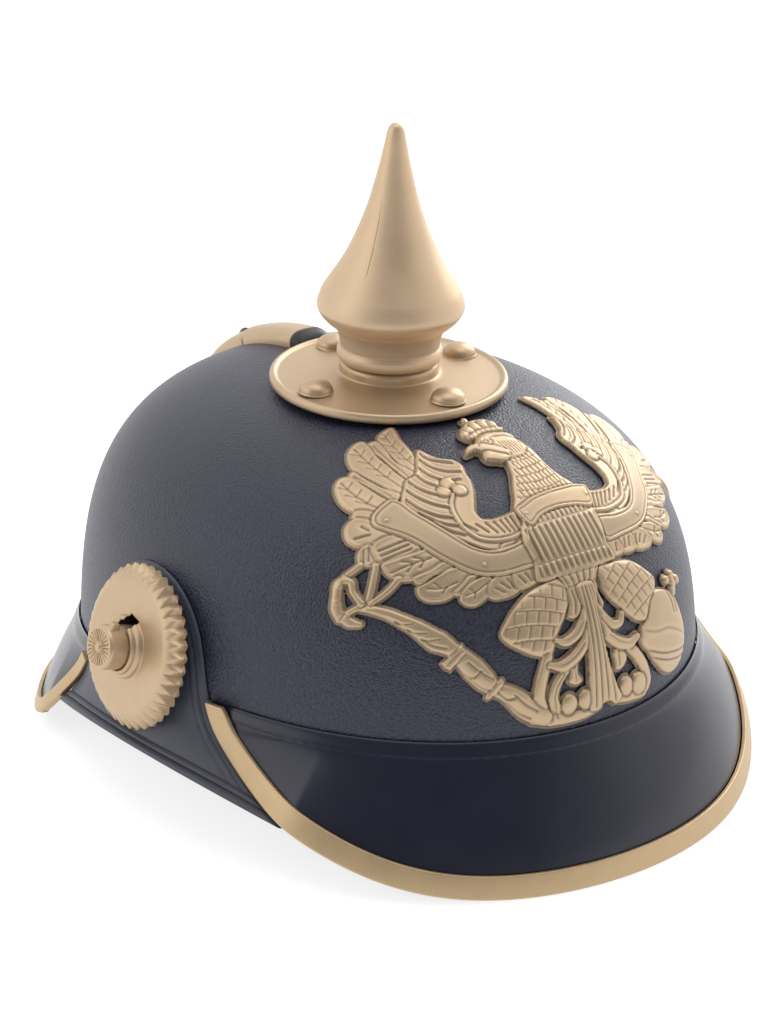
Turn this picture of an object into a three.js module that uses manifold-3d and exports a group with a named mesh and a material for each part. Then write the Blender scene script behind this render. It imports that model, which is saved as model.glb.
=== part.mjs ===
// Spiked parade helmet: a hollow plastic crown on two flared peaks, with side flaps, rosettes,
// a spike on a studded plate, a spine down the back and an eagle on the front.
// Millimetres, +Z up, front towards -Y. Pieces are drawn round the spike's axis with the plate's
// rim at Z = 0. The whole helmet then leans forward until both rims meet the floor.
import * as THREE from "three";
import { mergeVertices } from "three/addons/utils/BufferGeometryUtils.js";
import Module from "manifold-3d";

const wasm = await Module();
wasm.setup();

// Driving sizes
const lean = 2.9;
const clearance = 0.35;
const crown = { meanRadius: 104, lengthToWidth: 1.21, depth: 150, roundness: 5.3, shoulder: 2.68,
  apex: -1.2, wall: 2, holeRadius: 7, edgeHeight: -91, edgeSlope: -0.11, columns: 34, rows: 10 };
const floorHeight = -120;
const peakWall = 1.6;
const lapHeight = 5;
const endDrop = 3;
const peaks = {
  front: { facing: -1, lapAngle: 71, lapTop: -71.6, lapSlope: 0, lapDip: -2.5, rimAngle: 70.4,
    rimHalfWidth: 94.1, rimCentre: 46.2, rimReach: 86.8, rise: 23.4, riseSharpness: 5.3, bulge: 0.049,
    endColumns: 4 },
  rear: { facing: 1, lapAngle: 73, lapTop: -79.5, lapSlope: -0.155, lapDip: 0, rimAngle: 74,
    rimHalfWidth: 104.2, rimCentre: 25, rimReach: 94, rise: 16.5, riseSharpness: 24, bulge: 0.035,
    endColumns: 2 },
};
const peakColumns = 28;
const apronRows = 4;
const trim = { face: 5.6, thickness: 1.1, lip: 1.3, lipDepth: 0.9, seat: 0.7, gap: 0.5 };
const flap = { centreY: -5.5, centreZ: -69.5, archRadius: 27.5, wall: 2, seat: 0.6, edgeGap: 2.6, columns: 6,
  flareTop: -62, flare: 0.18, flareLift: 1.15 };
const rosette = { seatX: 97.3, centreY: -8.55, centreZ: -65.7, yaw: 0.9, tilt: 14.8, radius: 25.5,
  fieldRadius: 21.5, bandDrop: 3.8, fluteDepth: 1.3, flutes: 40, thickness: 1.6, bossRadius: 9.7,
  bossHeight: 1.8, collarRadius: 8.4, collarHeight: 3.4, bore: 7.3, notchWidth: 4.2, notchTop: 10.2 };
const knob = { radius: 6.92, length: 15.2, edge: 0.7, tabSize: 2.2, tabAlong: 10.5 };
const plate = { radius: 38, rimWidth: 3, rimHeight: 1.6, face: 0.8, under: -0.8, edgeUnder: -1.8,
  edge: 0.9, collarRadius: 15.8, collarTop: 6, bossRadius: 5.5, bossBottom: -4.5, spigotRadius: 11.4,
  spigotTop: 12 };
const stud = { radius: 5.3, height: 3.8, pitchRadius: 29.1, turn: 3 };
const spikeWall = 2.2;
const spine = { width: 13, height: 3.6, coverWidth: 14.5, coverHeight: 4.8, start: 41, coverEnd: 73,
  seat: 0.4, bend: 8 };
const badge = { tilt: 40, foot: -125, seat: 0.6, edge: 1.6, ridge: 2.4 };

const gold = { color: 0xc8a878, roughness: 0.42, metalness: 0.55 };
const grained = { color: 0x33343d, roughness: 0.6, metalness: 0 };
const glossy = { color: 0x24252c, roughness: 0.22, metalness: 0 };

const rad = THREE.MathUtils.degToRad;
const lerp = THREE.MathUtils.lerp;
const v3 = (x, y, z) => new THREE.Vector3(x, y, z);
const helmet = new THREE.Group();

function place(name, geometry, look, parent = helmet) {
  const mesh = new THREE.Mesh(geometry, new THREE.MeshStandardMaterial(look));
  mesh.name = name;
  parent.add(mesh);
  return mesh;
}

// Geometry from points and triangles, turned outward if its volume comes out negative
function solid(points, triangles) {
  let volume = 0;
  for (const [a, b, c] of triangles) {
    volume += points[a].dot(v3().crossVectors(points[b], points[c]));
  }
  const index = triangles.flatMap(([a, b, c]) => (volume < 0 ? [a, c, b] : [a, b, c]));
  const geometry = new THREE.BufferGeometry();
  const numbers = points.flatMap((p) => p.toArray());
  geometry.setAttribute("position", new THREE.Float32BufferAttribute(numbers, 3));
  geometry.setIndex(index);
  geometry.computeVertexNormals();
  return geometry;
}

// Wall between two grids of points of one size; a wrapped grid closes on itself across its columns.
// Its first half is split the other way, so a symmetric wall has symmetric facets.
function wall(outer, inner, wrapped = false) {
  const rows = outer.length;
  const columns = outer[0].length;
  const points = [...outer.flat(), ...inner.flat()];
  const at = (side, i, j) => side * rows * columns + i * columns + (j % columns);
  const triangles = [];
  const quad = (a, b, c, d, turned) => {
    if (turned) triangles.push([b, c, d], [b, d, a]);
    else triangles.push([a, b, c], [a, c, d]);
  };
  const lastColumn = wrapped ? columns : columns - 1;
  for (let i = 0; i < rows - 1; i += 1) {
    for (let j = 0; j < lastColumn; j += 1) {
      const turned = i < (rows - 1) / 2;
      quad(at(0, i, j), at(0, i + 1, j), at(0, i + 1, j + 1), at(0, i, j + 1), turned);
      quad(at(1, i, j), at(1, i, j + 1), at(1, i + 1, j + 1), at(1, i + 1, j), turned);
    }
  }
  for (let j = 0; j < lastColumn; j += 1) {
    quad(at(0, 0, j), at(0, 0, j + 1), at(1, 0, j + 1), at(1, 0, j));
    quad(at(0, rows - 1, j + 1), at(0, rows - 1, j), at(1, rows - 1, j), at(1, rows - 1, j + 1));
  }
  if (!wrapped) {
    for (let i = 0; i < rows - 1; i += 1) {
      quad(at(0, i + 1, 0), at(0, i, 0), at(1, i, 0), at(1, i + 1, 0));
      const end = columns - 1;
      quad(at(0, i, end), at(0, i + 1, end), at(1, i + 1, end), at(1, i, end));
    }
  }
  return solid(points, triangles);
}

// Closed loops of equal length joined in order, with both ends capped by the triangles given
function loft(loops, cap) {
  const size = loops[0].length;
  const triangles = [];
  for (let i = 0; i < loops.length - 1; i += 1) {
    for (let j = 0; j < size; j += 1) {
      const a = i * size + j;
      const b = i * size + ((j + 1) % size);
      const turned = i < (loops.length - 1) / 2;
      if (turned) triangles.push([a, a + size, b], [b, a + size, b + size]);
      else triangles.push([a, a + size, b + size], [a, b + size, b]);
    }
  }
  const last = (loops.length - 1) * size;
  for (const [a, b, c] of cap) {
    triangles.push([a, b, c], [last + a, last + c, last + b]);
  }
  return solid(loops.flat(), triangles);
}

function toManifold(geometry) {
  const position = geometry.getAttribute("position");
  return new wasm.Manifold(new wasm.Mesh({ numProp: 3, vertProperties: new Float32Array(position.array),
    triVerts: new Uint32Array(geometry.index.array) }));
}

function fromManifold(body) {
  const mesh = body.getMesh();
  const points = [];
  for (let i = 0; i < mesh.vertProperties.length; i += mesh.numProp) {
    points.push(v3(mesh.vertProperties[i], mesh.vertProperties[i + 1], mesh.vertProperties[i + 2]));
  }
  const triangles = [];
  for (let i = 0; i < mesh.triVerts.length; i += 3) {
    triangles.push([mesh.triVerts[i], mesh.triVerts[i + 1], mesh.triVerts[i + 2]]);
  }
  return solid(points, triangles);
}

// Crown: an oval dome whose mean radius follows a rounded power curve of the depth below its top
function crownRadius(z) {
  const depth = THREE.MathUtils.clamp((crown.apex - z) / crown.depth, 0, 1);
  return crown.meanRadius * (1 - (1 - depth) ** crown.roundness) ** (1 / crown.shoulder);
}
const halfLength = (z) => crownRadius(z) * Math.sqrt(crown.lengthToWidth);
const halfWidth = (z) => crownRadius(z) / Math.sqrt(crown.lengthToWidth);

// Outward unit normal of the dome at a point on it
function crownNormal(p) {
  const step = 0.2;
  const slope = (crownRadius(p.z - step) - crownRadius(p.z + step)) / (2 * step);
  const stretch = crown.lengthToWidth;
  const r = Math.max(crownRadius(p.z), 1e-3);
  return v3(p.x * stretch, p.y / stretch, r * slope).normalize();
}

// Point of the dome at an angle from the front or back (facing -1 or 1), moved out along the normal
function crownPoint(angle, z, facing, out) {
  const p = v3(halfWidth(z) * Math.sin(angle), facing * halfLength(z) * Math.cos(angle), z);
  return p.addScaledVector(crownNormal(p), out);
}

// Height at which the dome has a given mean radius
function crownHeight(radius) {
  const depth = 1 - (1 - (radius / crown.meanRadius) ** crown.shoulder) ** (1 / crown.roundness);
  return crown.apex - crown.depth * depth;
}

function buildCrown() {
  const outer = [];
  const inner = [];
  for (let i = 0; i <= crown.rows; i += 1) {
    const share = i / crown.rows;
    const outerRow = [];
    const innerRow = [];
    for (let j = 0; j < crown.columns; j += 1) {
      const angle = (2 * Math.PI * j) / crown.columns;
      const edge = crown.edgeHeight - crown.edgeSlope * halfLength(crown.edgeHeight) * Math.cos(angle);
      const brim = crownRadius(edge);
      const radius = lerp(crown.holeRadius, brim, Math.sin(share * Math.PI * 0.5));
      const z = i === crown.rows ? edge : crownHeight(radius);
      const p = crownPoint(angle, z, -1, 0);
      outerRow.push(p);
      const inward = crownNormal(p).multiplyScalar(-crown.wall);
      if (i === crown.rows) inward.z = 0;
      innerRow.push(p.clone().add(inward));
    }
    outer.push(outerRow);
    inner.push(innerRow);
  }
  place("crown", wall(outer, inner, true), grained);
}

// Peak: a lap on the crown, then an apron out to the rim. Across runs from -1 to 1; down runs
// from -1 at the lap's top to 0 at its foot and 1 at the rim.
function lapPoint(peak, across, drop, out) {
  const angle = rad(peak.lapAngle * across);
  const y = peak.facing * halfLength(peak.lapTop) * Math.cos(angle);
  const z = peak.lapTop + peak.lapSlope * y + peak.lapDip * Math.sin(angle) ** 2 - drop;
  return crownPoint(angle, z, peak.facing, out);
}

// Edge of a peak: the rim round the helmet, then a straight end up to the lap's corner
function rimPoint(peak, across) {
  const endShare = 2 * peak.endColumns / peakColumns;
  const turn = Math.min(Math.abs(across) / (1 - endShare), 1);
  const angle = Math.sign(across) * rad(peak.rimAngle * turn);
  const y = peak.facing * (peak.rimCentre + peak.rimReach * Math.cos(angle));
  const rise = peak.rise * Math.abs(Math.sin(angle)) ** peak.riseSharpness;
  const floor = floorHeight - Math.tan(rad(lean)) * y;
  const rim = v3(peak.rimHalfWidth * Math.sin(angle), y, floor + trim.lip + rise);
  const climb = Math.max((Math.abs(across) - 1 + endShare) / endShare, 0);
  return rim.lerp(lapPoint(peak, Math.sign(across), lapHeight + endDrop, clearance + peakWall), climb);
}

function peakPoint(peak, across, down) {
  if (down < 0) return lapPoint(peak, across, lapHeight * (1 + down), clearance + peakWall);
  const rim = rimPoint(peak, across);
  const out = v3(rim.x, rim.y, 0).normalize();
  const foot = lapPoint(peak, across, lapHeight, clearance + peakWall);
  const bulge = peak.bulge * foot.distanceTo(rim);
  return foot.lerp(rim, down).addScaledVector(out, bulge * 4 * down * (1 - down));
}

// Rates of change of a peak's surface, across it and down it
function peakRates(peak, across, down) {
  const step = 0.01;
  const along = peakPoint(peak, across + step, down).sub(peakPoint(peak, across - step, down));
  const fall = peakPoint(peak, across, down + step).sub(peakPoint(peak, across, down - step));
  return [along.divideScalar(2 * step), fall.divideScalar(2 * step)];
}

// Normal of a peak, turned away from the spike's axis
function peakNormal(peak, across, down) {
  const [along, fall] = peakRates(peak, across, down);
  const normal = v3().crossVectors(along, fall).normalize();
  const p = peakPoint(peak, across, down);
  return normal.x * p.x + normal.y * p.y < 0 ? normal.negate() : normal;
}

function buildPeak(name, peak) {
  const outer = [];
  const inner = [];
  for (let j = 0; j <= peakColumns; j += 1) {
    const across = (2 * j) / peakColumns - 1;
    const outerColumn = [peakPoint(peak, across, -1), peakPoint(peak, across, 0)];
    const innerColumn = [0, lapHeight].map((drop) => lapPoint(peak, across, drop, clearance));
    for (let i = 1; i <= apronRows; i += 1) {
      const p = peakPoint(peak, across, i / apronRows);
      outerColumn.push(p);
      innerColumn.push(p.clone().addScaledVector(peakNormal(peak, across, i / apronRows), -peakWall));
    }
    outer.push(outerColumn);
    inner.push(innerColumn);
  }
  place(name, wall(outer, inner), glossy);
}

// Place on a peak nearest to a target, stepped from a first guess: [across, down]
function nearestOnPeak(peak, target, guess) {
  let [across, down] = guess;
  for (let i = 0; i < 6; i += 1) {
    const rest = target.clone().sub(peakPoint(peak, across, down));
    const [along, fall] = peakRates(peak, across, down);
    const mixed = along.dot(fall);
    const size = along.lengthSq() * fall.lengthSq() - mixed * mixed;
    across += (rest.dot(along) * fall.lengthSq() - rest.dot(fall) * mixed) / size;
    down += (rest.dot(fall) * along.lengthSq() - rest.dot(along) * mixed) / size;
    across = THREE.MathUtils.clamp(across, -1, 1);
    down = THREE.MathUtils.clamp(down, -1, 1);
  }
  return [across, down];
}

// Stations round a peak's edge: down one end, along the rim and up the other end, each with the
// point on the edge, the point a trim's width inside it and the direction off the peak
function peakEdge(peak) {
  const ends = [-1];
  const stations = ends.map((down) => [-1, down]);
  for (let j = 0; j <= peakColumns; j += 1) stations.push([(2 * j) / peakColumns - 1, 1]);
  for (const down of ends.toReversed()) stations.push([1, down]);
  const points = stations.map(([across, down]) => peakPoint(peak, across, down));
  return stations.map(([across, down], i) => {
    const point = points[i];
    const before = points[Math.max(i - 1, 0)].clone().sub(point).normalize();
    const after = points[Math.min(i + 1, points.length - 1)].clone().sub(point).normalize();
    const normal = peakNormal(peak, across, down);
    const off = v3().crossVectors(after.sub(before), normal).normalize().multiplyScalar(-peak.facing);
    const target = point.clone().addScaledVector(off, -trim.face);
    const [insideAcross, insideDown] = nearestOnPeak(peak, target, [across, down]);
    return { point, normal, off, inside: peakPoint(peak, insideAcross, insideDown),
      insideNormal: peakNormal(peak, insideAcross, insideDown) };
  });
}

// Trim: an L-shaped strip over a peak's edge, with its foot on the floor at the middle of the rim
function buildTrim(name, peak) {
  const top = trim.seat + trim.thickness;
  const loops = peakEdge(peak).map((edge) => {
    const lip = (out, up) => edge.point.clone().addScaledVector(edge.off, out)
      .addScaledVector(edge.normal, up);
    const face = (up) => edge.inside.clone().addScaledVector(edge.insideNormal, up);
    return [face(top), lip(trim.lip, top), lip(trim.lip, -trim.lipDepth), lip(trim.gap, -trim.lipDepth),
      lip(trim.gap, trim.seat), face(trim.seat)];
  });
  place(name, loft(loops, [[0, 1, 4], [0, 4, 5], [1, 2, 3], [1, 3, 4]]), gold);
}

// Side flap: rows from the arch down to the lower edge, each bowed from its front to its back end
function flapReach(y, z) {
  return halfWidth(z) * Math.sqrt(1 - (y / halfLength(z)) ** 2) + flap.seat + flap.wall;
}

function flapRows() {
  const rows = [14, 36, 55].map((turn) => {
    const reach = flap.archRadius * Math.sin(rad(turn));
    const z = flap.centreZ + flap.archRadius * Math.cos(rad(turn));
    return [flap.centreY - reach, flap.centreY + reach].map((y) => v3(-flapReach(y, z), y, z));
  });
  const down = [{ front: 0, rear: 0 }, { front: 1, rear: 1 }, { front: 2, rear: 1.3 },
    { front: 3, rear: 1.65 }, { front: 4, rear: 2 }, { front: 5, rear: 2.3 }];
  for (const row of down) {
    rows.push(Object.keys(peaks).map((name) => {
      const edge = peakEdge(peaks[name])
        .map(({ point, off }) => point.clone().addScaledVector(off, flap.edgeGap));
      const p = edge[Math.floor(row[name])].clone().lerp(edge[Math.ceil(row[name])], row[name] % 1);
      return p.setX(Math.min(p.x, -flapReach(p.y, p.z)));
    }));
  }
  const between = rows[2].map((p, i) => p.clone().lerp(rows[3][i], 0.5));
  rows.splice(3, 0, between.map((p) => p.setX(-flapReach(p.y, p.z))));
  return rows;
}

function buildFlap(name, side) {
  const outer = flapRows().map(([front, back]) => {
    const middle = (front.z + back.z) / 2;
    const flare = flap.flare * Math.max(0, flap.flareTop - middle);
    const bow = halfWidth(middle) + flap.seat + flap.wall + flare + (front.x + back.x) / 2;
    const row = [];
    for (let j = 0; j <= flap.columns; j += 1) {
      const share = j / flap.columns;
      const p = front.clone().lerp(back, share);
      const belly = 4 * share * (1 - share);
      p.x = -side * (p.x - bow * belly);
      p.z += flap.flareLift * flare * belly;
      row.push(p);
    }
    return row;
  });
  const inner = outer.map((row) => row.map((p) => p.clone().setX(p.x - side * flap.wall)));
  place(name, wall(outer, inner), glossy);
}

function cleanGeometry(geometry) {
  geometry.deleteAttribute("normal");
  geometry.deleteAttribute("uv");
  return mergeVertices(geometry, 1e-4);
}

// Solid turned about Z from a profile of radius and height
function latheSolid(profile, segments) {
  const geometry = new THREE.LatheGeometry(profile.map(([r, z]) => new THREE.Vector2(r, z)), segments);
  return cleanGeometry(geometry.rotateX(Math.PI / 2));
}

// Points round a circle, every second one drawn in by a given depth
function ring(count, radius, z, depth = 0) {
  return Array.from({ length: count }, (_, i) => {
    const angle = (2 * Math.PI * i) / count;
    const reach = i % 2 ? radius - depth : radius;
    return v3(reach * Math.cos(angle), reach * Math.sin(angle), z);
  });
}

// Triangles from a ring to one inside it with half as many points, each given by its first point
function zip(fine, coarse, count) {
  const triangles = [];
  for (let k = 0; k < count; k += 1) {
    const [a, b, c] = [2 * k, 2 * k + 1, (2 * k + 2) % (2 * count)].map((i) => fine + i);
    const [d, e] = [coarse + k, coarse + ((k + 1) % count)];
    triangles.push([a, b, d], [b, e, d], [b, c, e]);
  }
  return triangles;
}

// Rosette: a flat field, a fluted band that falls back to a toothed rim, and a stepped boss notched at its top
function rosetteGeometry() {
  const { flutes, thickness, bandDrop, radius, fieldRadius, fluteDepth, bore } = rosette;
  const skins = [thickness, 0].map((z) => [ring(2 * flutes, radius, z, fluteDepth),
    ring(flutes, fieldRadius, z + bandDrop), ring(flutes / 2, bore, z + bandDrop)].flat());
  const size = skins[0].length;
  const inside = 3 * flutes;
  const top = [...zip(0, 2 * flutes, flutes), ...zip(2 * flutes, inside, flutes / 2)];
  const triangles = [...top, ...top.map((corners) => corners.toReversed().map((i) => i + size))];
  for (let i = 0; i < 2 * flutes; i += 1) {
    const next = (i + 1) % (2 * flutes);
    triangles.push([i, i + size, next + size], [i, next + size, next]);
  }
  for (let i = 0; i < flutes / 2; i += 1) {
    const [here, next] = [inside + i, inside + ((i + 1) % (flutes / 2))];
    triangles.push([here, next + size, here + size], [here, next, next + size]);
  }
  const disc = solid(skins.flat(), triangles);
  const face = rosette.thickness + rosette.bandDrop;
  const steps = [{ radius: rosette.bossRadius, height: rosette.bossHeight },
    { radius: rosette.collarRadius, height: rosette.collarHeight }];
  const sunk = face - rosette.thickness / 2;
  const profile = [[rosette.bore, sunk], [steps[0].radius, sunk], [steps[0].radius, face + steps[0].height],
    [steps[1].radius, face + steps[0].height], [steps[1].radius, face + steps[1].height],
    [rosette.bore, face + steps[1].height], [rosette.bore, sunk]];
  const notchFoot = rosette.bore / 2;
  const notch = new THREE.BoxGeometry(rosette.notchWidth, rosette.notchTop - notchFoot, 8 * face)
    .translate(0, (rosette.notchTop + notchFoot) / 2, 0);
  const body = toManifold(disc).add(toManifold(latheSolid(profile, flutes / 2)));
  return fromManifold(body.subtract(toManifold(cleanGeometry(notch))));
}

function knobGeometry() {
  const profile = [[0, 0], [knob.radius, 0], [knob.radius, knob.length - knob.edge],
    [knob.radius - knob.edge, knob.length], [0, knob.length]];
  const tab = new THREE.BoxGeometry(knob.tabSize, knob.tabSize * 2, knob.tabSize)
    .translate(0, knob.radius, knob.tabAlong);
  return fromManifold(toManifold(latheSolid(profile, 16)).add(toManifold(cleanGeometry(tab))));
}

function buildRosette(name, side) {
  const group = new THREE.Group();
  const yaw = rad(rosette.yaw);
  const facing = v3(side * Math.cos(yaw), -Math.sin(yaw), Math.tan(rad(rosette.tilt)));
  helmet.add(group);
  group.up.set(0, 0, 1);
  group.position.set(side * rosette.seatX, rosette.centreY, rosette.centreZ);
  group.lookAt(group.position.clone().add(facing));
  place(`rosette_${name}`, rosetteGeometry(), gold, group);
  place(`knob_${name}`, knobGeometry(), gold, group);
}

// Base plate: rim, flat face, collar and spigot under the spike, and a boss through the crown
function buildPlate() {
  const { radius, edge, face, under, rimHeight, collarRadius, collarTop, spigotRadius } = plate;
  const rimInside = radius - plate.rimWidth;
  const profile = [[0, plate.bossBottom], [plate.bossRadius, plate.bossBottom], [plate.bossRadius, under],
    [collarRadius, under], [radius - edge, plate.edgeUnder], [radius, under], [radius, rimHeight - edge],
    [radius - edge, rimHeight], [rimInside + edge, rimHeight], [rimInside, face], [collarRadius, face],
    [collarRadius, collarTop - edge], [collarRadius - edge, collarTop], [spigotRadius, collarTop],
    [spigotRadius, plate.spigotTop], [0, plate.spigotTop]];
  place("base_plate", latheSolid(profile, 26), gold);
  const dome = [[0, 0], [stud.radius, 0]];
  for (const turn of [25, 50, 72]) {
    dome.push([stud.radius * Math.cos(rad(turn)), stud.height * Math.sin(rad(turn))]);
  }
  dome.push([0, stud.height]);
  ["front", "left", "back", "right"].forEach((name, i) => {
    const angle = rad(stud.turn + 90 * i);
    const mesh = place(`base_stud_${name}`, latheSolid(dome, 10), gold);
    mesh.position.set(Math.sin(angle), -Math.cos(angle), 0).multiplyScalar(stud.pitchRadius);
    mesh.position.z = face + clearance;
  });
}

// Spike: bead, waist, belly and long taper, hollow from below
function buildSpike() {
  const seat = plate.collarTop + clearance;
  const rows = [
    { height: seat, radius: 15.6 },
    { height: seat + 0.8, radius: 16.7 },
    { height: 9.8, radius: 16.7 },
    { height: 11, radius: 16 },
    { height: 14.5, radius: 16.3 },
    { height: 17, radius: 18.3 },
    { height: 20, radius: 21.6 },
    { height: 22.8, radius: 23.2 },
    { height: 25.4, radius: 23.2 },
    { height: 28, radius: 22.3 },
    { height: 33.2, radius: 19.2 },
    { height: 41, radius: 14.5 },
    { height: 51.4, radius: 10 },
    { height: 64, radius: 6.2 },
    { height: 76.9, radius: 3.2 },
    { height: 81.2, radius: 2 },
  ];
  const tip = [0, 82.3];
  const bore = plate.spigotRadius + clearance;
  const outside = rows.map((row) => [row.radius, row.height]);
  const hollow = rows.filter((row) => row.height > plate.spigotTop && row.radius > 3 * spikeWall)
    .filter((row, i) => i % 2 === 0).map((row) => [row.radius - spikeWall, row.height]);
  const top = [0, hollow.at(-1)[1] + 6];
  const profile = [top, ...hollow.toReversed(), [bore, plate.spigotTop], [bore, seat], ...outside, tip];
  place("spike", latheSolid(profile, 20), gold);
}

// Spine: a rounded strip down the back of the crown, thicker under its vent cover
function buildSpine() {
  const section = (y, width, height) => {
    const z = crownHeight(y / Math.sqrt(crown.lengthToWidth));
    const middle = crownPoint(0, z, 1, 0);
    const normal = crownNormal(middle);
    const round = [[-1, 0], [-1, 0.6], [-0.7, 1], [0.7, 1], [1, 0.6], [1, 0]];
    return round.map(([side, rise]) => middle.clone().add(v3(side * width / 2, 0, 0))
      .addScaledVector(normal, spine.seat + rise * height));
  };
  const foot = halfLength(peaks.rear.lapTop + peaks.rear.lapSlope * halfLength(peaks.rear.lapTop) + 2);
  const bend = foot - spine.bend;
  const cover = [0, 0.33, 0.66, 1].map((share) => lerp(spine.start, spine.coverEnd, share));
  const loops = cover.map((y) => section(y, spine.coverWidth, spine.coverHeight));
  const strip = [0, 0.26, 0.5, 0.72, 0.88, 1].map((share) => lerp(spine.coverEnd + 0.5, bend, share));
  for (let i = 1; i <= 5; i += 1) strip.push(lerp(bend, foot, 1 - (1 - i / 5) ** 2));
  for (const y of strip) loops.push(section(y, spine.width, spine.height));
  place("rear_spine", loft(loops, [[0, 1, 5], [1, 4, 5], [1, 2, 4], [2, 3, 4]]), gold);
}

// Eagle: strokes drawn flat, as seen along the badge's own direction, and laid on the crown
function badgePoint(across, up, out) {
  const tilt = rad(badge.tilt);
  const direction = v3(0, -Math.cos(tilt), Math.sin(tilt));
  const flat = v3(across, 0, 0).addScaledVector(v3(0, Math.sin(tilt), Math.cos(tilt)), up + badge.foot);
  let [near, far] = [-40, 170];
  for (let i = 0; i < 40; i += 1) {
    const reach = (near + far) / 2;
    const p = flat.clone().addScaledVector(direction, reach);
    const r = crownRadius(p.z);
    const oval = p.x ** 2 * crown.lengthToWidth + p.y ** 2 / crown.lengthToWidth;
    const inside = p.z < crown.apex && oval < r * r;
    if (inside) near = reach;
    else far = reach;
  }
  const p = flat.addScaledVector(direction, near);
  return p.addScaledVector(crownNormal(p), out);
}

const feathers = [
  { rootX: 30, rootY: 80, tipX: 26, tipY: 101, width: 7 },
  { rootX: 37, rootY: 76, tipX: 40, tipY: 100.5, width: 9 },
  { rootX: 44, rootY: 72, tipX: 51, tipY: 89, width: 8.5 },
  { rootX: 46, rootY: 70, tipX: 59, tipY: 71.5, width: 9 },
  { rootX: 42, rootY: 60, tipX: 55, tipY: 57, width: 8.5 },
  { rootX: 37, rootY: 53, tipX: 48.5, tipY: 46, width: 7.5 },
  { rootX: 31, rootY: 49, tipX: 38.5, tipY: 40.5, width: 7 },
  { rootX: 24, rootY: 47, tipX: 28, tipY: 39, width: 6.5 },
  { rootX: 18, rootY: 47, tipX: 20.5, tipY: 39.5, width: 6 },
];
// Strokes as rows of place across, place up and half width
const pairedStrokes = {
  ribbon: [[52, 71, 4], [45, 70, 6], [39, 60, 6.5], [32, 51.5, 6], [23, 48.5, 5.5], [13, 49.5, 5.5]],
  coverts: [[24, 90, 2], [27, 84, 6], [33, 76, 7], [39, 68, 6]],
  arm: [[22, 82, 5], [25.5, 73, 6.5], [30, 64, 6], [26, 57.5, 5.5], [19, 56.5, 5.5], [10, 57, 5.5]],
  thigh: [[10, 37, 4], [15, 32, 8], [20, 26, 8.5], [21, 19, 4]],
  leg: [[20, 21, 2.4], [22.5, 12, 2.2], [23.5, 3, 2.4]],
  shin: [[12, 16, 1.8], [17, 10, 1.8], [17, 2.5, 1.8]],
  toes: [[25, 3, 2.2], [15, 2.6, 3], [8, 2.8, 2.8], [2, 2.5, 2.2]],
  upperCurl: [[3, 28, 1.4], [8, 21.5, 1.6], [14.5, 23, 1.2]],
  lowerCurl: [[3.5, 23, 1.4], [10, 16, 1.8], [19, 18, 1.4]],
};
const singleStrokes = {
  chest: [[0, 62, 12.5], [0, 51, 13], [0, 40, 13]],
  neck: [[1, 58, 12], [1.5, 70, 8.5], [2, 80, 6.5], [1.5, 90, 6]],
  beak: [[0, 83.5, 5], [-9, 84, 3.6], [-15, 84.3, 0.9]],
  coronet: [[-1, 88, 6], [-1, 92.5, 7.8], [-1, 97, 5.5]],
  tail: [[-1, 41, 7], [-2, 30, 4.6], [-2, 20, 3], [-1.5, 1.5, 5]],
  sceptre: [[-60, 53, 1.6], [-56, 46, 1.6], [-50, 36, 2.9], [-46.5, 29.5, 1.6], [-45, 27, 3.4],
    [-40, 20, 3], [-35, 15, 1.7], [-31, 12, 2.4], [-23, 2.5, 2.2]],
  finial: [[-63, 61.5, 1], [-67, 55.5, 1.6], [-65, 47.5, 1.6]],
  finialStem: [[-65, 59.5, 1.2], [-57.5, 50, 1.6]],
  finialFoot: [[-66.5, 50.5, 1.2], [-58.5, 51, 1.2]],
  outerStrut: [[-63.5, 61, 0.9], [-56, 64, 1]],
  middleStrut: [[-59.5, 53, 1.3], [-55, 62, 1.5]],
  innerStrut: [[-57, 50.5, 1.1], [-50, 56, 1.2]],
  orb: [[16.5, 17, 5], [22, 16.5, 9.5], [29, 16, 11.5], [36, 16, 8], [38.5, 15.5, 3]],
  crossStem: [[33.5, 22, 1.3], [35, 34, 1.3]],
  crossBar: [[31.5, 30.5, 1.3], [38, 31, 1.3]],
};

// One stroke: rows of place and half width along its line, ridged along the middle
function strokeBody(rows, raise) {
  const narrow = Math.max(...rows.map(([x, y, half]) => half)) < 6.8;
  const loops = rows.map(([x, y, half], i) => {
    const before = rows[Math.max(i - 1, 0)];
    const after = rows[Math.min(i + 1, rows.length - 1)];
    const along = new THREE.Vector2(after[0] - before[0], after[1] - before[1]).normalize();
    const at = (side, out) => badgePoint(x - side * half * along.y, y + side * half * along.x, out);
    const [edge, ridge] = [badge.edge + raise, badge.ridge + raise];
    if (narrow) return [at(-1, ridge), at(1, ridge), at(1, badge.seat), at(-1, badge.seat)];
    const top = [at(-1, edge), at(0, ridge), at(1, edge)];
    return [...top, at(1, badge.seat), at(0, badge.seat), at(-1, badge.seat)];
  });
  const cap = narrow ? [[0, 1, 2], [0, 2, 3]] : [[1, 2, 3], [1, 3, 4], [1, 4, 5], [1, 5, 0]];
  return toManifold(loft(loops, cap));
}

function buildEagle() {
  const shape = [{ share: 0, fill: 0.8 }, { share: 0.65, fill: 1 }, { share: 1, fill: 0.35 }];
  const paired = [...Object.values(pairedStrokes), ...feathers.map((f) => shape.map(({ share, fill }) => [
    lerp(f.rootX, f.tipX, share), lerp(f.rootY, f.tipY, share), fill * f.width / 2]))];
  const mirrored = paired.map((rows) => rows.map(([x, y, half]) => [-x, y, half]));
  const strokes = [...paired, ...mirrored, ...Object.values(singleStrokes)];
  const bodies = strokes.map((rows, i) => strokeBody(rows, (i % 5) * 0.12));
  place("eagle_plate", fromManifold(bodies.reduce((sum, body) => sum.add(body))), gold);
}

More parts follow.
